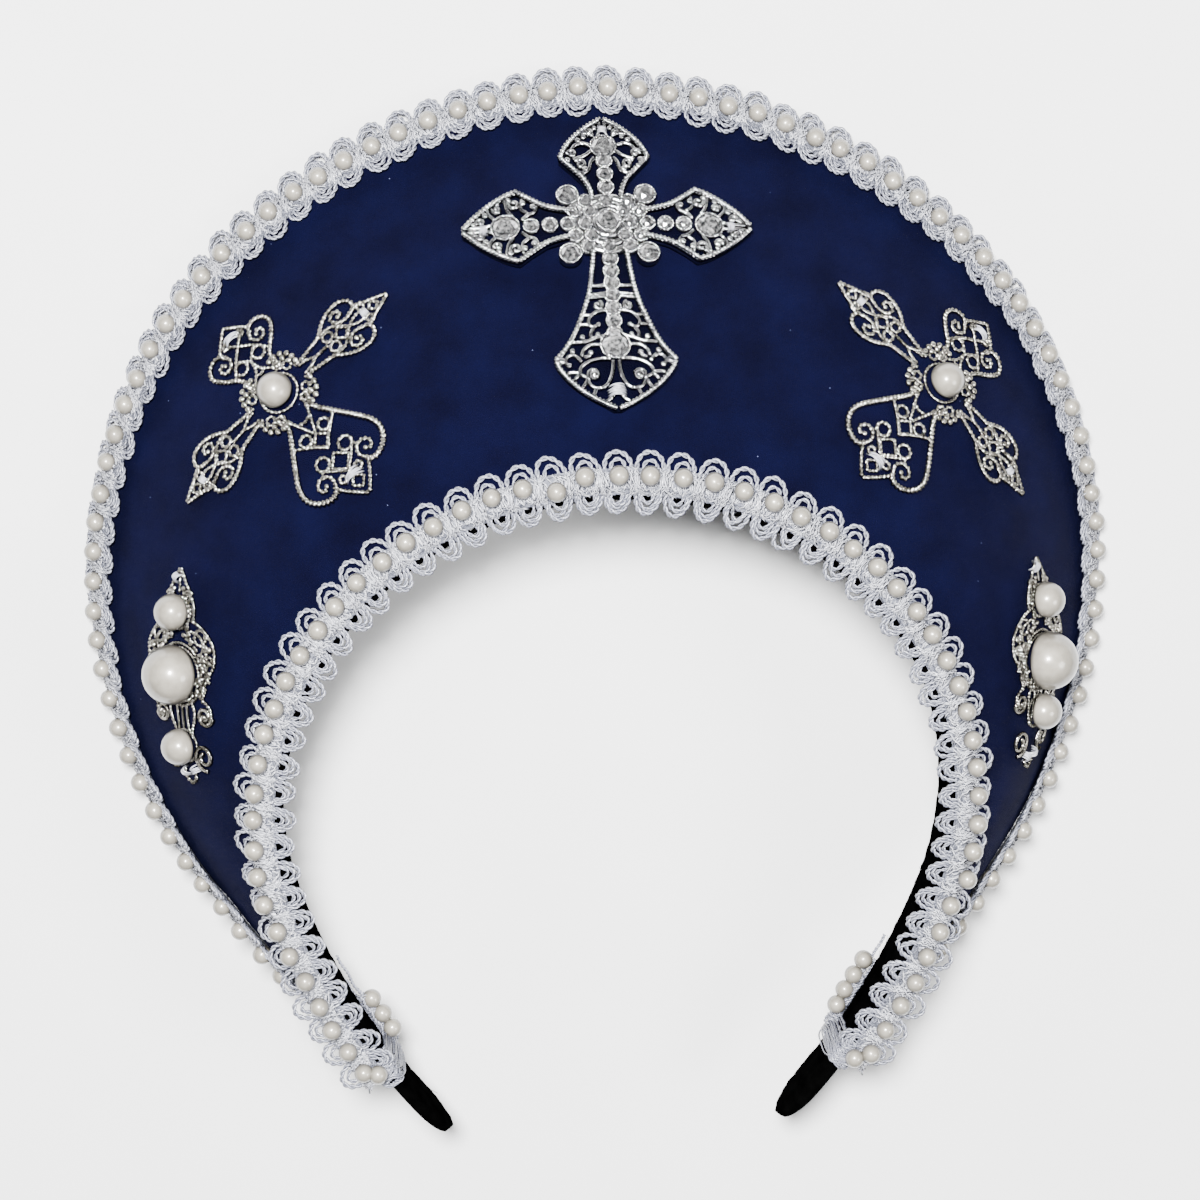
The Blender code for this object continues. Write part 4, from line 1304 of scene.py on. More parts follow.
def turned(line: np.ndarray, heading: float) -> np.ndarray:
    """Points given as along and across an arm, as drawing points, for an arm's heading in degrees."""
    angle = math.radians(heading)
    along = np.array([math.cos(angle), math.sin(angle)])
    across = np.array([-math.sin(angle), math.cos(angle)])
    return line[:, :1] * along + line[:, 1:2] * across


@dataclass
class Openwork:
    """Wirework drawn flat in millimetres, kept in millimetres until it is built."""

    lift: float = 1.2
    wire: float = 0.46
    bead: float = 0.85
    shape: Shape = field(default_factory=Shape)

    def raised(self, line: np.ndarray, lift: float) -> np.ndarray:
        """Flat points as points at a lift."""
        return np.concatenate([line, np.full((len(line), 1), lift)], 1)

    def plain(self, line: Flat, half: float | None = None, lift: float | None = None, tall: float = 1.0,
              closed: bool = False, smooth: bool = True) -> None:
        """A smooth wire along a line.

        Args:
            line: Its flat points.
            half: Half its width.
            lift: Height of its middle.
            tall: Its height as a share of its width.
            closed: Whether it joins its own start.
            smooth: Whether a curve is run through the points.
        """
        half = self.wire if half is None else half
        lift = self.lift if lift is None else lift
        flat = resampled(line, 0.42, closed) if smooth else np.asarray(line, float)
        tubes(self.shape, self.raised(flat, lift), half, half * tall, 5, closed)

    def milled(self, line: Flat, half: float | None = None, lift: float | None = None, tall: float = 1.0,
               closed: bool = False) -> None:
        """A wire cast as a row of beads along a line."""
        half = self.wire if half is None else half
        lift = self.lift if lift is None else lift
        flat = resampled(line, self.bead / 4, closed)
        run = np.arange(len(flat)) / 4 * math.pi
        swell = half * (0.42 + 0.68 * np.abs(np.cos(run)))
        tubes(self.shape, self.raised(flat, lift), swell, swell * tall, 5, closed)

    def ring(self, x: float, y: float, radius: float, half: float | None = None, lift: float | None = None,
             milled: bool = True) -> None:
        """A round collar of wire."""
        line = circle(x, y, radius, 14)
        if milled:
            self.milled(line, half, lift, closed=True)
        else:
            self.plain(line, half, lift, closed=True)

    def knob(self, x: float, y: float, radius: float, lift: float | None = None) -> None:
        """A cast bead."""
        points, faces = ball(2)
        middle = np.array([x, y, (self.lift if lift is None else lift) + radius * 0.3])
        self.shape.add(points * radius * np.array([1.0, 1.0, 0.75]) + middle, faces)

    def build(self, name: str, finish: Finish, seat: Seat, nodes: Sequence[str] = ()) -> None:
        """Wraps the wirework onto the panel."""
        self.shape.moved(lambda p: seat.place(p * MM)).build(name, finish, nodes)


@dataclass
class Stitches:
    """White hand stitches that hold an ornament: short bundles over its wires."""

    name: str
    seat: Seat
    spots: Sequence[Sequence[float]]
    lift: float = 1.6
    strands: int = 5
    radius: float = 0.17

    def build(self) -> None:
        """Lays the bundles, each given as x, y, heading and length."""
        rng = np.random.default_rng(5)
        shape = Shape()
        share = np.linspace(-1.0, 1.0, 11)
        for x, y, heading, length in self.spots:
            for i in range(self.strands):
                along = share * length / 2 * rng.uniform(0.85, 1.1)
                across = (i - (self.strands - 1) / 2) * self.radius * 1.7 + rng.normal(0, 0.12) * share
                line = turned(np.stack([along, across], 1), heading + rng.normal(0, 5)) + (x, y)
                lift = self.lift + 0.5 - 1.7 * np.abs(share) ** 3 + rng.uniform(0, 0.2)
                tubes(shape, np.concatenate([line, lift[:, None]], 1), self.radius, self.radius, 5)
        shape.moved(lambda p: self.seat.place(p * MM)).build(self.name, THREAD)


def round_pearl(name: str, seat: Seat, x: float, y: float, radius: float, node: str) -> None:
    """A large pearl on an ornament, in the place of its solid."""
    points, faces = ball(4)
    foot = seat.place(np.array([x, y, PEARL_SEAT]))
    up = Vector(seat.place(np.array([x, y, PEARL_SEAT + 0.001])) - foot).normalized()
    turn = np.array(up.to_track_quat("Z", "Y").to_matrix())
    points[:, 2] = np.maximum(points[:, 2], -DOME_SHARE) + DOME_SHARE
    Shape().add(points * radius @ turn.T + foot, faces).build(name, PEARL, (node,))


@dataclass(frozen=True)
class Arm:
    """Half of one filigree arm in millimetres: along it, and across it from its middle."""

    lobe: Flat
    scroll: Flat
    inner: tuple[Flat, ...]
    rings: tuple[tuple[float, float, float], ...]
    diamonds: tuple[tuple[float, float], ...]
    bars: tuple[Flat, ...]
    tip: Flat
    half: float
    stitch: float
    sewn: float


POINTED = Arm(
    lobe=((6.2, 2.0), (8.2, 2.0), (11.2, 2.5), (13.6, 3.0), (15.2, 4.3), (17.0, 5.5), (19.3, 6.2),
          (21.4, 6.2), (22.9, 5.2), (23.4, 3.8), (22.9, 2.7), (21.5, 2.2)),
    scroll=((22.0, 2.2), (19.9, 1.9), (18.3, 2.7), (17.8, 4.1), (18.8, 5.0), (20.0, 4.7), (20.2, 3.7),
            (19.4, 3.4)),
    inner=(((14.0, 0.0), (12.2, 0.0), (10.6, 0.0)), ((10.6, 0.0), (8.8, 0.9), (6.6, 1.3)),
           ((8.6, 0.9), (8.2, 2.0))),
    rings=((15.1, 1.5, 1.15), (24.2, 1.6, 0.75)),
    diamonds=((17.9, 1.7), (26.4, 1.2)),
    bars=(((20.0, 0.0), (16.9, 2.8), (13.8, 3.1)), ((19.9, 0.0), (22.6, 1.0), (24.8, 0.2))),
    tip=((23.0, 2.7), (24.4, 2.7), (25.4, 2.0), (27.2, 1.3), (30.0, 0.1)),
    half=0.50,
    stitch=24.0,
    sewn=2.0,
)
HEADED = Arm(
    lobe=((4.2, 4.5), (5.8, 3.6), (7.8, 3.7), (9.9, 5.0), (11.9, 7.0), (14.6, 8.6), (16.9, 7.9), (17.9, 6.0),
          (17.4, 4.4), (16.0, 3.4)),
    scroll=((16.4, 4.0), (15.0, 3.1), (13.3, 4.0), (13.2, 5.6), (14.5, 6.3), (15.4, 5.4), (14.6, 4.7)),
    inner=(((10.3, 0.0), (7.9, 0.5), (6.0, 2.1), (4.5, 4.0)), ((7.0, 1.0), (6.4, 0.0))),
    rings=((11.0, 2.5, 1.5), (18.0, 2.0, 0.7)),
    diamonds=((13.2, 2.6),),
    bars=(((15.8, 0.0), (13.2, 2.6), (10.0, 4.9)), ((15.8, 0.0), (17.2, 1.4), (17.6, 3.0))),
    tip=((17.2, 4.4), (18.6, 3.4), (20.2, 1.9), (21.9, 0.1)),
    half=0.52,
    stitch=18.4,
    sewn=4.2,
)
FOOTED = Arm(
    lobe=((4.4, 4.6), (6.0, 3.6), (8.2, 3.6), (10.6, 4.9), (13.4, 6.7), (16.4, 8.6), (19.4, 10.3),
          (22.0, 10.7), (24.4, 9.6), (25.9, 7.4), (26.0, 5.4), (24.9, 4.3)),
    scroll=((25.2, 4.4), (23.2, 3.7), (21.7, 4.6), (21.4, 6.2), (22.6, 7.3), (23.9, 6.7), (23.4, 5.6)),
    inner=(((4.8, 3.0), (7.4, 2.4), (10.4, 1.2), (13.0, 0.2)), ((9.0, 1.8), (9.6, 0.0))),
    rings=((12.9, 2.6, 1.3), (19.4, 3.2, 1.5), (24.9, 2.2, 0.8)),
    diamonds=((15.2, 2.0), (21.6, 2.4), (27.3, 1.6)),
    bars=(((17.5, 0.0), (15.0, 2.4), (12.4, 5.6)), ((24.4, 0.0), (22.2, 2.4), (20.6, 4.1), (19.5, 4.8)),
          ((24.0, 0.0), (25.8, 0.0)), ((20.6, 4.4), (21.6, 5.0))),
    tip=((25.4, 4.5), (27.2, 3.3), (29.0, 1.8), (30.8, 0.1)),
    half=0.62,
    stitch=25.6,
    sewn=4.4,
)


@dataclass
class FiligreeCross:
    """A cast filigree cross: beaded wires in scrolls, rings and lozenges round one pearl."""

    side: str
    anchor: Anchor
    pearl_radius: float = 0.0038
    headings: tuple[tuple[Arm, float], ...] = (
        (HEADED, 90.0), (POINTED, 0.0), (FOOTED, -90.0), (POINTED, 180.0),
    )
    granules: tuple[tuple[float, float, float], ...] = (
        (8.6, 0.8, 0.72), (8.6, -0.8, 0.72), (7.6, 0.0, 0.72), (7.9, 2.1, 0.72), (7.9, -2.1, 0.72),
        (7.0, 1.5, 0.62), (7.0, -1.5, 0.62), (6.9, 3.1, 0.66), (6.9, -3.1, 0.66),
    )

    def arm(self, work: Openwork, arm: Arm, heading: float) -> None:
        """Draws one arm, both halves.

        Args:
            work: The wirework to add it to.
            arm: The arm.
            heading: Its heading in degrees.
        """
        for line in mirrored(np.array(arm.lobe)):
            work.milled(turned(line, heading), arm.half * 1.2, tall=0.9)
        for line in mirrored(np.array(arm.scroll)):
            work.milled(turned(line, heading), 0.54)
            work.knob(*turned(line[-1:], heading)[0], 0.55)
        for line in mirrored(np.array(arm.tip)):
            work.milled(turned(line, heading), 0.52)
        for flat in (*arm.inner, *arm.bars):
            for line in mirrored(np.array(flat, float)):
                work.milled(turned(line, heading), 0.46)
        for x, y, radius in arm.rings:
            for centre in mirrored(np.array([[x, y]])):
                spot = turned(centre, heading)[0]
                work.ring(*spot, radius, 0.48)
        for x, half in arm.diamonds:
            corners = np.array([(x - half, 0.0), (x, half), (x + half, 0.0), (x, -half), (x - half, 0.0)])
            for first, second in zip(corners[:-1], corners[1:]):
                work.milled(turned(np.array([first, (first + second) / 2, second]), heading), 0.46)

    def build(self) -> None:
        """The whole cross with its pearl and stitches."""
        seat, work = Seat(self.anchor), Openwork(wire=0.52, bead=0.92)
        for arm, heading in self.headings:
            self.arm(work, arm, heading)
        work.ring(0.0, 0.0, 4.3, 0.42)
        for heading in (45, 135, 225, 315):
            for across in (-1.15, 1.15):
                work.ring(*turned(np.array([[6.1, across]]), heading)[0], 0.95, 0.42)
            for along, across, radius in self.granules:
                work.knob(*turned(np.array([[along, across]]), heading)[0], radius)
        name = "filigree_cross_" + self.side
        work.build(name + "_wires", ANTIQUE, seat, (name,))
        round_pearl("cross_pearl_round_" + self.side, seat, 0.0, 0.0, self.pearl_radius,
                    "cross_pearl_" + self.side)
        spots = [(*turned(np.array([[arm.stitch, 0.0]]), heading)[0], heading + 90.0, arm.sewn)
                 for arm, heading in self.headings]
        Stitches(name + "_stitches", seat, spots).build()


@dataclass(frozen=True)
class Gem:
    """A round cut stone: place in millimetres and girdle radius."""

    x: float
    y: float
    radius: float


@dataclass(frozen=True)
class Limb:
    """Half of one arm of the cast cross, in millimetres."""

    edge: Flat
    crown: Flat
    scrolls: tuple[tuple[float, float, float, float, int], ...]
    struts: tuple[Flat, ...]
    knobs: tuple[tuple[float, float, float], ...]


UPPER = Limb(
    edge=((5.6, 3.2), (7.2, 3.1), (10.5, 4.4), (13.4, 6.8), (16.0, 9.1)),
    crown=((16.0, 9.1), (18.4, 8.0), (20.6, 6.4), (23.2, 3.7), (25.5, 0.3)),
    scrolls=((14.3, 4.9, 1.2, 60, -1), (17.0, 6.6, 1.0, 100, -1), (22.4, 2.6, 0.9, 10, 1)),
    struts=(((16.0, 2.0), (14.8, 2.8), (13.2, 3.2), (12.2, 4.4), (12.4, 5.8)),
            ((17.6, 2.6), (16.4, 4.2), (15.6, 6.4)), ((19.0, 2.8), (19.6, 4.4), (19.0, 6.0), (17.6, 6.8)),
            ((21.4, 1.8), (22.0, 3.4), (21.8, 5.2)), ((21.6, 0.8), (23.4, 0.6), (24.8, 0.5))),
    knobs=((15.4, 7.6, 0.7), (13.0, 4.0, 0.7), (20.2, 5.2, 0.7), (21.0, 4.0, 0.6), (23.2, 1.6, 0.6)),
)
LATERAL = Limb(
    edge=((6.4, 3.2), (8.0, 3.1), (12.5, 4.3), (15.8, 6.3), (18.5, 8.3)),
    crown=((18.5, 8.3), (21.0, 7.3), (23.8, 5.6), (26.9, 3.2), (29.7, 0.3)),
    scrolls=((19.0, 5.4, 1.3, 60, -1), (22.6, 4.4, 0.9, 20, -1), (26.0, 1.7, 0.9, -30, 1)),
    struts=(((17.6, 1.4), (16.4, 2.6), (15.0, 3.2), (14.4, 4.6)), ((16.2, 3.0), (17.6, 4.2), (17.4, 6.6)),
            ((19.4, 2.6), (20.4, 4.0), (21.0, 6.6)), ((23.0, 2.0), (24.2, 3.4), (24.6, 4.8)),
            ((23.8, 0.8), (25.4, 0.5), (28.6, 0.5))),
    knobs=((15.2, 4.4, 0.7), (17.2, 5.4, 0.7), (20.2, 6.4, 0.6), (22.4, 5.6, 0.6), (25.0, 3.2, 0.7),
           (27.4, 1.2, 0.6)),
)
LOWER = Limb(
    edge=((7.0, 3.4), (11.2, 3.9), (16.4, 4.7), (21.2, 6.2), (26.4, 8.4), (29.5, 10.4), (31.2, 12.0)),
    crown=((31.2, 12.0), (33.0, 11.5), (36.1, 9.2), (38.8, 6.1), (40.6, 3.2), (42.0, 0.3)),
    scrolls=((19.4, 3.1, 1.0, 200, 1),),
    struts=(((14.8, 1.3), (14.9, 2.8), (14.8, 4.4)), ((16.6, 1.3), (16.8, 3.0), (16.9, 4.8)),
            ((17.2, 1.3), (17.4, 3.0), (17.6, 4.9)),
            ((20.4, 1.6), (20.9, 3.6), (22.1, 4.9), (23.5, 5.2), (24.2, 4.4), (23.8, 3.2)),
            ((21.6, 4.6), (21.4, 6.2)), ((23.6, 5.2), (23.6, 7.2)),
            ((24.2, 4.0), (25.4, 4.8), (26.5, 4.8), (26.6, 3.9), (25.8, 3.5)),
            ((26.2, 2.2), (26.7, 4.0), (27.4, 6.0), (27.5, 8.8)), ((27.4, 6.2), (26.6, 6.6)),
            ((28.1, 3.0), (28.2, 5.0), (29.2, 6.4), (30.6, 6.9)), ((30.8, 6.4), (30.6, 5.4), (30.1, 5.0)),
            ((31.2, 1.0), (31.2, 3.2), (31.8, 5.5), (33.0, 7.1), (34.6, 7.6), (35.6, 8.6)),
            ((31.8, 6.9), (30.4, 8.2), (30.5, 9.6), (31.8, 10.2), (32.5, 9.6)), ((29.6, 8.7), (30.5, 8.7)),
            ((34.2, 7.4), (34.0, 9.2), (34.4, 10.0)), ((34.6, 7.2), (35.4, 6.0), (36.6, 6.4), (37.6, 7.2)),
            ((35.4, 6.0), (37.2, 5.0), (37.5, 3.0), (36.2, 1.6), (33.8, 0.8), (31.6, 0.6)),
            ((35.8, 5.8), (34.0, 5.6), (33.6, 4.4), (34.4, 3.6)), ((37.4, 4.2), (38.6, 4.6), (39.4, 5.2)),
            ((37.0, 0.4), (38.6, 0.4)), ((38.6, 0.4), (39.8, 1.4), (40.6, 2.6))),
    knobs=((26.5, 6.6, 0.62), (29.5, 8.7, 0.62), (30.0, 5.0, 0.62), (34.9, 4.5, 1.15), (23.8, 3.2, 0.55),
           (26.0, 3.4, 0.55), (32.6, 9.5, 0.6), (31.6, 11.0, 0.9)),
)


@dataclass
class CastCross:
    """The bright cross: a beaded frame with side walls, pierced scrolls and cut stones."""

    anchor: Anchor
    frame_wall: float = 0.66
    pad_top: float = 1.2
    facets: int = 8
    limbs: tuple[tuple[Limb, float], ...] = (
        (UPPER, 90.0), (LATERAL, 0.0), (LOWER, -90.0), (LATERAL, 180.0),
    )

    def gems(self) -> list[Gem]:
        """The stones: a cluster in the middle, a row out along each arm and a large one near its end."""
        found = [Gem(0.0, 0.0, 2.3), Gem(0.0, 18.8, 2.5), Gem(-21.0, 0.0, 2.7), Gem(21.0, 0.0, 2.7),
                 Gem(0.0, -28.2, 2.8)]
        found += [Gem(x * 8.0, y * 7.0, 2.05) for x in (-1, 1) for y in (-1, 1)]
        rows = ((5.3, (0.0, 4.4)), (3.0, (3.5, 6.7)), (0.0, (4.6, 8.2)), (-2.9, (3.4, 6.7)),
                (-5.6, (4.3, 0.0)))
        for y, places in rows:
            found += [Gem(side * x, y, 1.35) for x in places for side in (-1, 1) if side > 0 or x]
        found += [Gem(0.0, y, 1.5) for y in (8.6, 11.9, 15.2)]
        found += [Gem(side * x, 0.0, 1.45) for side in (-1, 1) for x in (11.9, 15.7)]
        found += [Gem(0.0, -8.6 - 2.85 * i, 1.45) for i in range(7)]
        return found

    def stones(self, seat: Seat) -> None:
        """Cuts every stone, with a table, slanting facets and a girdle on a low cone, and seats it.

        Args:
            seat: The cross's drawing plane.
        """
        shape, cups = Shape(), Openwork(lift=2.1, bead=0.6)
        count = self.facets
        for gem in self.gems():
            cuts = ((0.55, 0.42, 0), (0.84, 0.22, 0.5), (1.0, 0.0, 0), (0.55, -0.55, 0))
            crowning = gem.radius > 2.0 and abs(gem.x) + abs(gem.y) < 1
            base = 2.55 + (1.15 if crowning else 0.0)
            rings = []
            for reach, height, shift in cuts:
                turn = (np.arange(count) + shift) / count * math.tau
                rings.append(np.stack([gem.x + gem.radius * reach * np.cos(turn),
                                       gem.y + gem.radius * reach * np.sin(turn),
                                       np.full(count, base + gem.radius * height)], 1))
            faces = [list(range(count))]
            for row in range(len(cuts) - 1):
                near, far = row * count, (row + 1) * count
                shift, further = cuts[row][2], cuts[row + 1][2]
                for i in range(count):
                    j = (i + 1) % count
                    if further > shift:
                        faces += [[near + i, far + i, near + j], [far + i, far + j, near + j]]
                    elif shift > further:
                        faces += [[near + i, far + i, far + j], [near + i, far + j, near + j]]
                    else:
                        faces += [[near + i, far + i, far + j, near + j]]
            faces.append([(len(cuts) - 1) * count + i for i in range(count)][::-1])
            shape.add(np.concatenate(rings), faces)
            cups.milled(circle(gem.x, gem.y, gem.radius * 1.05, 12), 0.30, base - 0.15, 1.0, True)
            cups.plain(circle(gem.x, gem.y, gem.radius * 0.92, 12), 0.5, (base + 0.7) / 2, 1.6, True)
        shape.moved(lambda p: seat.place(p * MM)).build("centre_cross_stones", CRYSTAL, (), 8.0)
        cups.build("centre_cross_settings", BRIGHT, seat)

    def pad(self, shadow_sheet: Shape, limb: Limb, heading: float) -> None:
        """The painted shadow under one arm: a dark pad cut to its outline, seen through the piercings.

        Args:
            shadow_sheet: What it is added to.
            limb: The arm.
            heading: Its heading in degrees.
        """
        steps = 32
        outline = np.array(limb.edge + limb.crown[1:])
        along = np.linspace(0.0, outline[-1, 0] + 0.3, steps)
        half = np.interp(along, outline[:, 0], outline[:, 1] + 0.45)
        rim = np.array([(-1, 0.1), (-1, 1), (-0.5, 1), (0, 1), (0.5, 1), (1, 1), (1, 0.1), (0, 0.1)])
        count = len(rim)
        rings = [np.concatenate([turned(np.stack([np.full(count, x), rim[:, 0] * y], 1), heading),
                                 rim[:, 1:] * self.pad_top], 1) for x, y in zip(along, half)]
        faces = [list(range(count)), [(steps - 1) * count + i for i in range(count)][::-1]]
        faces += [[r * count + i, r * count + (i + 1) % count, (r + 1) * count + (i + 1) % count,
                   (r + 1) * count + i] for r in range(steps - 1) for i in range(count)]
        shadow_sheet.add(np.concatenate(rings), faces)

    def build(self) -> None:
        """The frame, the scrolls, the stones, the dark pad of painted shadow and the stitches."""
        seat, work, shadow_sheet = Seat(self.anchor), Openwork(lift=1.9, bead=0.84), Shape()
        for limb, heading in self.limbs:
            for flat in (limb.edge, limb.crown):
                for line in mirrored(np.array(flat)):
                    wall = self.frame_wall * 0.8
                    flat_line = resampled(turned(line, heading), 0.6)
                    tubes(work.shape, work.raised(flat_line, 1.9), wall, 0.8, 4)
                    work.milled(turned(line, heading), self.frame_wall, 2.7)
            for x, y, radius, start, hand in limb.scrolls:
                for line in mirrored(spiral(x, y, radius, start, hand)):
                    work.plain(turned(line, heading), 0.48, 2.2, 1.6)
            for flat in limb.struts:
                for line in mirrored(np.array(flat)):
                    work.plain(turned(line, heading), 0.46, 2.1, 1.6)
            for x, y, radius in limb.knobs:
                for spot in mirrored(np.array([[x, y]])):
                    work.knob(*turned(spot, heading)[0], radius, 2.4)
            # Painted shadow: a dark pad under the arm stands for the shade seen through its piercings.
            self.pad(shadow_sheet, limb, heading)
        for radius in (2.6, 4.6, 6.4):
            work.plain(circle(0.0, 0.0, radius, 24), 1.2, 1.5, 0.9, True)
        for x in (-1, 1):
            for y in (-1, 1):
                work.plain(((4.4 * x, 3.8 * y), (7.6 * x, 6.6 * y)), 1.1, 1.4, 0.8)
        # Painted shadow: dark discs under the four diagonal stones.
        for gem in self.gems()[5:9]:
            tubes(shadow_sheet, np.array([[gem.x, gem.y, 0.1], [gem.x, gem.y, self.pad_top]]), gem.radius * 1.2,
                  gem.radius * 1.2, 20)
        work.build("centre_cross_cast", BRIGHT, seat, ("centre_cross",))
        shadow_sheet.moved(lambda p: seat.place(p * MM)).build("centre_cross_shadow_pad", SHADOW_PAD)
        self.stones(seat)
        spots = ((0.0, 22.6, 0.0, 2.2), (-25.4, 0.0, 90.0, 2.0), (25.4, 0.0, 90.0, 2.0),
                 (0.0, -38.6, 0.0, 3.6), (0.0, -37.6, 8.0, 3.2))
        Stitches("centre_cross_stitches", seat, spots, 2.6).build()


@dataclass
class SideOrnament:
    """A long filigree drop down each side of the face, with three pearls in beaded collars."""

    side: str
    anchor: Anchor
    low_pearl: float
    top_pearl: float = 0.0129
    middle_radius: float = 0.0039
    big_radius: float = 0.0063

    def build(self) -> None:
        """The wires, the pearls and the stitches."""
        seat, work = Seat(self.anchor), Openwork(lift=1.1, wire=0.46, bead=0.86)
        low = self.low_pearl / MM
        top = self.top_pearl / MM
        lines = (
            ((22.0, 0.2), (19.4, 1.7), (17.0, 3.2), (14.0, 4.4), (11.0, 4.2)),
            ((11.4, 4.0), (9.6, 7.2), (6.4, 9.8), (2.6, 10.0), (-0.4, 8.2), (-3.6, 6.4), (-5.6, 6.6)),
            ((9.2, 3.6), (8.2, 6.2), (5.4, 8.0), (2.8, 7.4), (1.6, 6.4)),
            ((-4.6, 5.9), (-6.8, 8.4), (-9.4, 8.2), (-10.2, 6.2), (-8.8, 4.9), (-7.4, 5.7)),
            ((-5.8, 3.2), (-7.4, 3.8), (-9.6, 3.6), (-11.8, 2.6), (-13.6, 2.7)),
            ((-20.4, 1.7), (-22.4, 1.5), (-23.4, 0.0)),
            ((7.4, 2.2), (9.4, 2.6), (11.4, 2.2)),
            ((4.4, 8.6), (3.0, 7.6), (0.6, 7.8), (-1.4, 8.6)),
            ((-1.6, 7.4), (-3.6, 7.0), (-5.0, 6.0)),
        )
        for flat in lines:
            for line in mirrored(np.array(flat, float)):
                work.milled(turned(line, 90.0), 0.44)
        for flat in (((-6.0, 0.0), (-9.0, 0.0), (-12.4, 0.0)), ((-6.0, 1.6), (-9.4, 1.5), (-13.0, 1.7)),
                     ((4.6, 6.6), (6.4, 7.2), (8.2, 6.4)), ((-1.6, 6.6), (0.8, 7.8), (3.4, 8.8)),
                     ((17.0, 0.0), (19.4, 0.0), (21.6, 0.0))):
            for line in mirrored(np.array(flat, float)):
                work.plain(turned(line, 90.0), 0.32)
        for along, across, radius in ((5.6, 9.0, 0.75), (8.2, 8.0, 0.65), (0.6, 8.6, 0.65), (-18.2, 3.6, 0.7),
                                      (-8.6, 6.6, 0.7), (21.4, 0.0, 0.6), (-23.2, 0.0, 0.6)):
            for spot in mirrored(np.array([[along, across]])):
                work.knob(*turned(spot, 90.0)[0], radius)
        rng = np.random.default_rng(8)
        for _ in range(70):
            angle, reach = rng.uniform(0.15, math.pi - 0.15), rng.uniform(6.2, 9.4)
            spot = np.array([[reach * math.cos(angle) * 0.9 + 2.2, reach * math.sin(angle)]])
            if math.hypot(spot[0, 0] - 8.0, spot[0, 1] - 6.3) < 2.1:
                continue
            for both in mirrored(spot):
                work.knob(*turned(both, 90.0)[0], rng.uniform(0.42, 0.62), 1.3)
        scrolls = ((-17.4, 5.2, 2.9, 170, 1), (-8.4, 6.8, 2.1, 100, 1), (16.2, 2.6, 1.3, 60, -1))
        for x, y, radius, start, hand in scrolls:
            for line in mirrored(spiral(x, y, radius, start, hand, 1.5)):
                work.plain(turned(line, 90.0), 0.50)
        for x, y, radius in ((8.0, 6.3, 1.6), (13.6, 3.4, 0.9), (3.4, 8.8, 0.7)):
            for spot in mirrored(np.array([[x, y]])):
                work.ring(*turned(spot, 90.0)[0], radius, 0.46)
        for along in np.arange(11.5, 18.5, 0.9):
            for spot in mirrored(np.array([[along + rng.uniform(-0.2, 0.2), (22.5 - along) * 0.30]])):
                work.knob(*turned(spot, 90.0)[0], rng.uniform(0.45, 0.65), 1.2)
        for along, radius in ((top, 3.4), (0.0, 5.7), (0.0, 6.6), (low, 3.4)):
            work.ring(0.0, along, radius, 0.42)
        name = "side_filigree_" + self.side
        work.build(name + "_wires", ANTIQUE, seat, (name,))
        pearls = (("top", self.top_pearl, self.middle_radius), ("big", 0.0, self.big_radius),
                  ("low", self.low_pearl, self.middle_radius))
        for part, along, radius in pearls:
            node = f"side_pearl_{part}_{self.side}"
            round_pearl(node + "_round", seat, 0.0, along, radius, node)
        spots = ((-0.9, 20.2, 60.0, 2.4), (-1.6, -21.0, -50.0, 1.9), (1.8, -20.4, 30.0, 2.2))
        Stitches(name + "_stitches", seat, spots, 1.5).build()


def ornaments() -> list[CastCross | FiligreeCross | SideOrnament]:
    """Every ornament at its place on the panel."""
    return [
        CastCross(Anchor(0.5, 0.0562, 0.0)),
        FiligreeCross("left", Anchor(-38.4, 0.0443, 9.0)),
        FiligreeCross("right", Anchor(40.1, 0.0446, -12.5)),
        SideOrnament("left", Anchor(-72.5, 0.0255, -67.0), -0.0152),
        SideOrnament("right", Anchor(74.9, 0.0263, 68.5), -0.0109),
    ]


# The view


@dataclass(frozen=True)
class Lamp:
    """A soft box: where it stands, how wide it is and its power in watts."""

    name: str
    place: tuple[float, float, float]
    size: float
    power: float


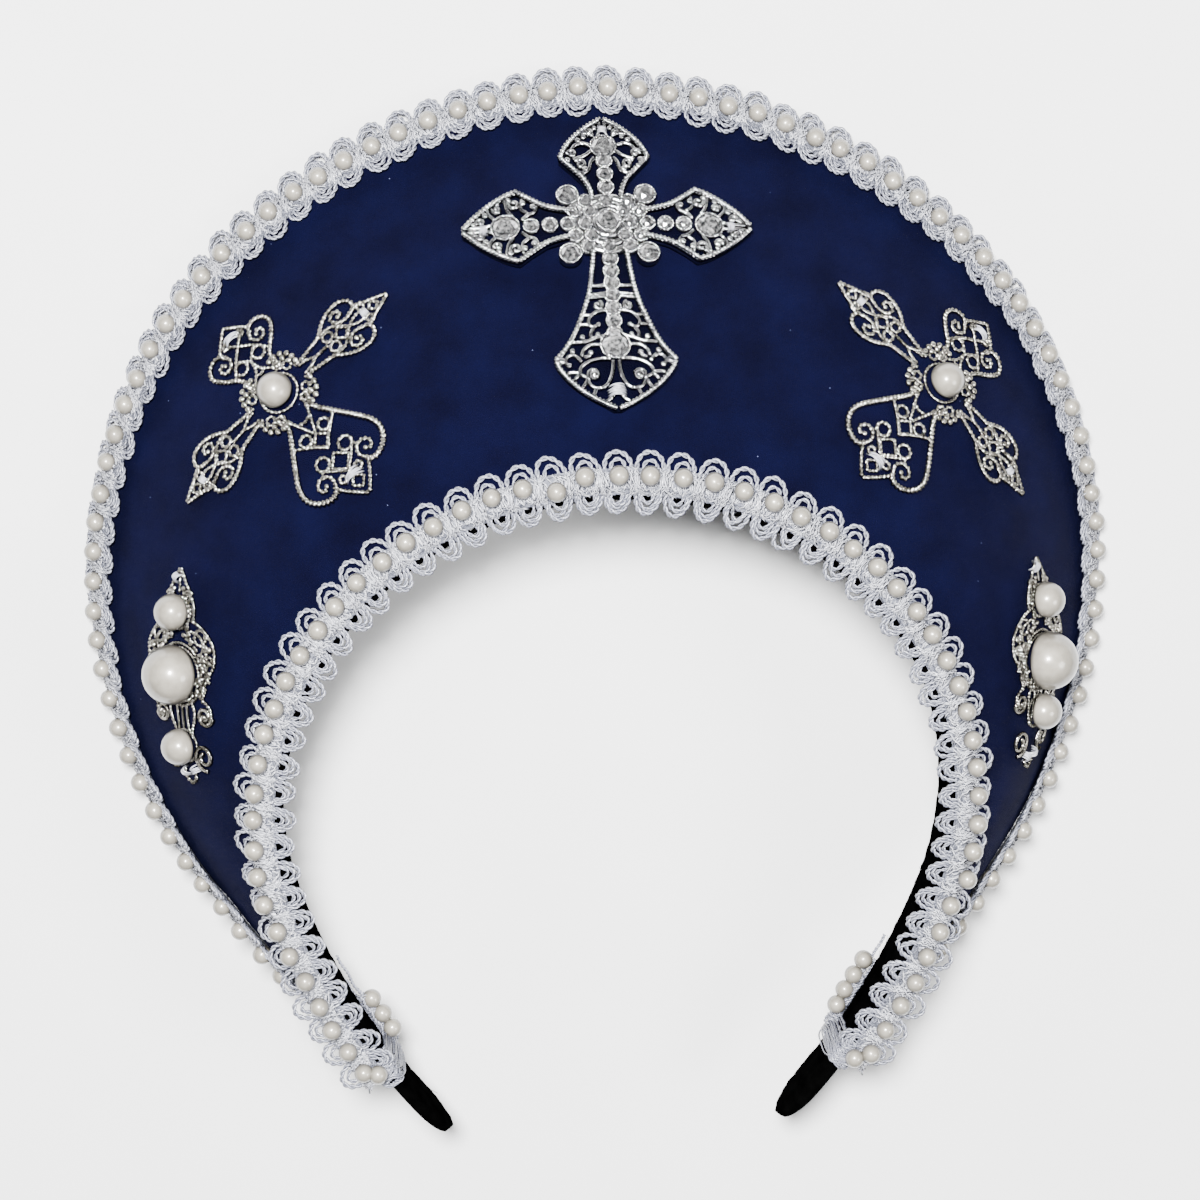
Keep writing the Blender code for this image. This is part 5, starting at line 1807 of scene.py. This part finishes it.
@dataclass(frozen=True)
class Studio:
    """The photograph's angle, a pale board to lie on and soft light."""

    yaw: float = 4.42
    pitch: float = 10.0
    roll: float = -1.03
    aim: tuple[float, float, float] = (-0.0024, 0.0450, -0.0071)
    distance: float = 0.750
    lens: float = 107.1
    sensor: float = 36.0
    board: float = 4.0
    sky: float = 0.42
    lit_spot: tuple[float, float, float] = (0.0, 0.0, 0.03)
    fitted_lean: float = 12.0
    lamps: tuple[Lamp, ...] = (
        Lamp("key_light", (-0.16, 0.36, 1.05), 0.22, 56.0),
        Lamp("fill_light", (0.80, -0.15, 0.90), 0.45, 9.0),
    )

    def camera(self) -> None:
        """Sets the camera where the photograph's was."""
        yaw, pitch, roll = (math.radians(v) for v in (self.yaw, self.pitch, self.roll))
        away = Vector((-math.sin(yaw) * math.cos(pitch), math.sin(pitch), math.cos(yaw) * math.cos(pitch)))
        right = Vector((0.0, 1.0, 0.0)).cross(away).normalized()
        up = away.cross(right)
        right, up = right * math.cos(roll) + up * math.sin(roll), up * math.cos(roll) - right * math.sin(roll)
        tilt = Matrix.Rotation(math.radians(FORM.lean - self.fitted_lean), 3, "X")
        spot = Vector(FORM.centre) + tilt @ (Vector(self.aim) + away * self.distance)
        axes = Matrix([tilt @ right, tilt @ up, tilt @ away]).transposed()
        data = bpy.data.cameras.new("photo_camera")
        data.lens, data.sensor_width = self.lens, self.sensor
        camera = bpy.data.objects.new("photo_camera", data)
        camera.matrix_world = Matrix.Translation(spot) @ axes.to_4x4()
        bpy.context.scene.collection.objects.link(camera)
        bpy.context.scene.camera = camera

    def light(self) -> None:
        """Hangs the soft boxes and lights the room."""
        for lamp in self.lamps:
            data = bpy.data.lights.new(lamp.name, "AREA")
            data.shape, data.size, data.energy = "DISK", lamp.size, lamp.power
            box = bpy.data.objects.new(lamp.name, data)
            aim = Vector(self.lit_spot) - Vector(lamp.place)
            facing = aim.to_track_quat("-Z", "Y").to_matrix().to_4x4()
            box.matrix_world = Matrix.Translation(lamp.place) @ facing
            bpy.context.scene.collection.objects.link(box)
        world = bpy.data.worlds.new("studio_room")
        world.use_nodes = True
        self.room(world.node_tree)
        world.node_tree.nodes["Background"].inputs["Strength"].default_value = self.sky
        bpy.context.scene.world = world

    def room(self, tree: bpy.types.NodeTree) -> None:
        """Pale walls with darker stretches between them, which the metal and the pearls mirror."""
        place = add_node(tree, "ShaderNodeTexCoord").outputs["Generated"]
        walls = add_node(tree, "ShaderNodeTexNoise", {"Scale": 2.6, "Detail": 1.0}, {"Vector": place})
        edges = add_node(tree, "ShaderNodeMapRange",
                         {"From Min": 0.47, "From Max": 0.58, "To Min": 0.02, "To Max": 1.7},
                         {"Value": walls.outputs["Fac"]})
        tree.links.new(edges.outputs["Result"], tree.nodes["Background"].inputs["Color"])

    def floor(self) -> None:
        """Lays the board."""
        half = self.board / 2
        mesh = bpy.data.meshes.new("studio_floor")
        mesh.from_pydata([(-half, -half, 0.0), (half, -half, 0.0), (half, half, 0.0), (-half, half, 0.0)], [],
                         [(0, 1, 2, 3)])
        mesh.materials.append(FLOOR.material())
        board = bpy.data.objects.new("studio_floor", mesh)
        bpy.context.scene.collection.objects.link(board)

    def build(self) -> None:
        """Makes the whole studio."""
        self.floor()
        self.light()
        self.camera()


def main() -> None:
    """Builds the hood, dresses it and sets the view."""
    logging.basicConfig(level=logging.INFO, format="%(name)s %(message)s")
    VelvetPanel().build()
    Headband().build()
    FaceBraid().build()
    RimBraid().build()
    BraidEnd(-1, "binding_left", ((119.2, -0.0040, -0.0122), (120.8, -0.0042, -0.0118),
                                  (122.3, -0.0042, -0.0112), (122.9, 0.0010, 0.0020))).build()
    BraidEnd(1, "binding_right", ((117.1, -0.0040, -0.0122), (118.7, -0.0041, -0.0122),
                                  (120.2, -0.0042, -0.0118), (121.6, -0.0042, -0.0108),
                                  (123.2, 0.0012, 0.0020))).build()
    for ornament in ornaments():
        ornament.build()
    Studio().build()


if __name__ == "__main__":
    main()
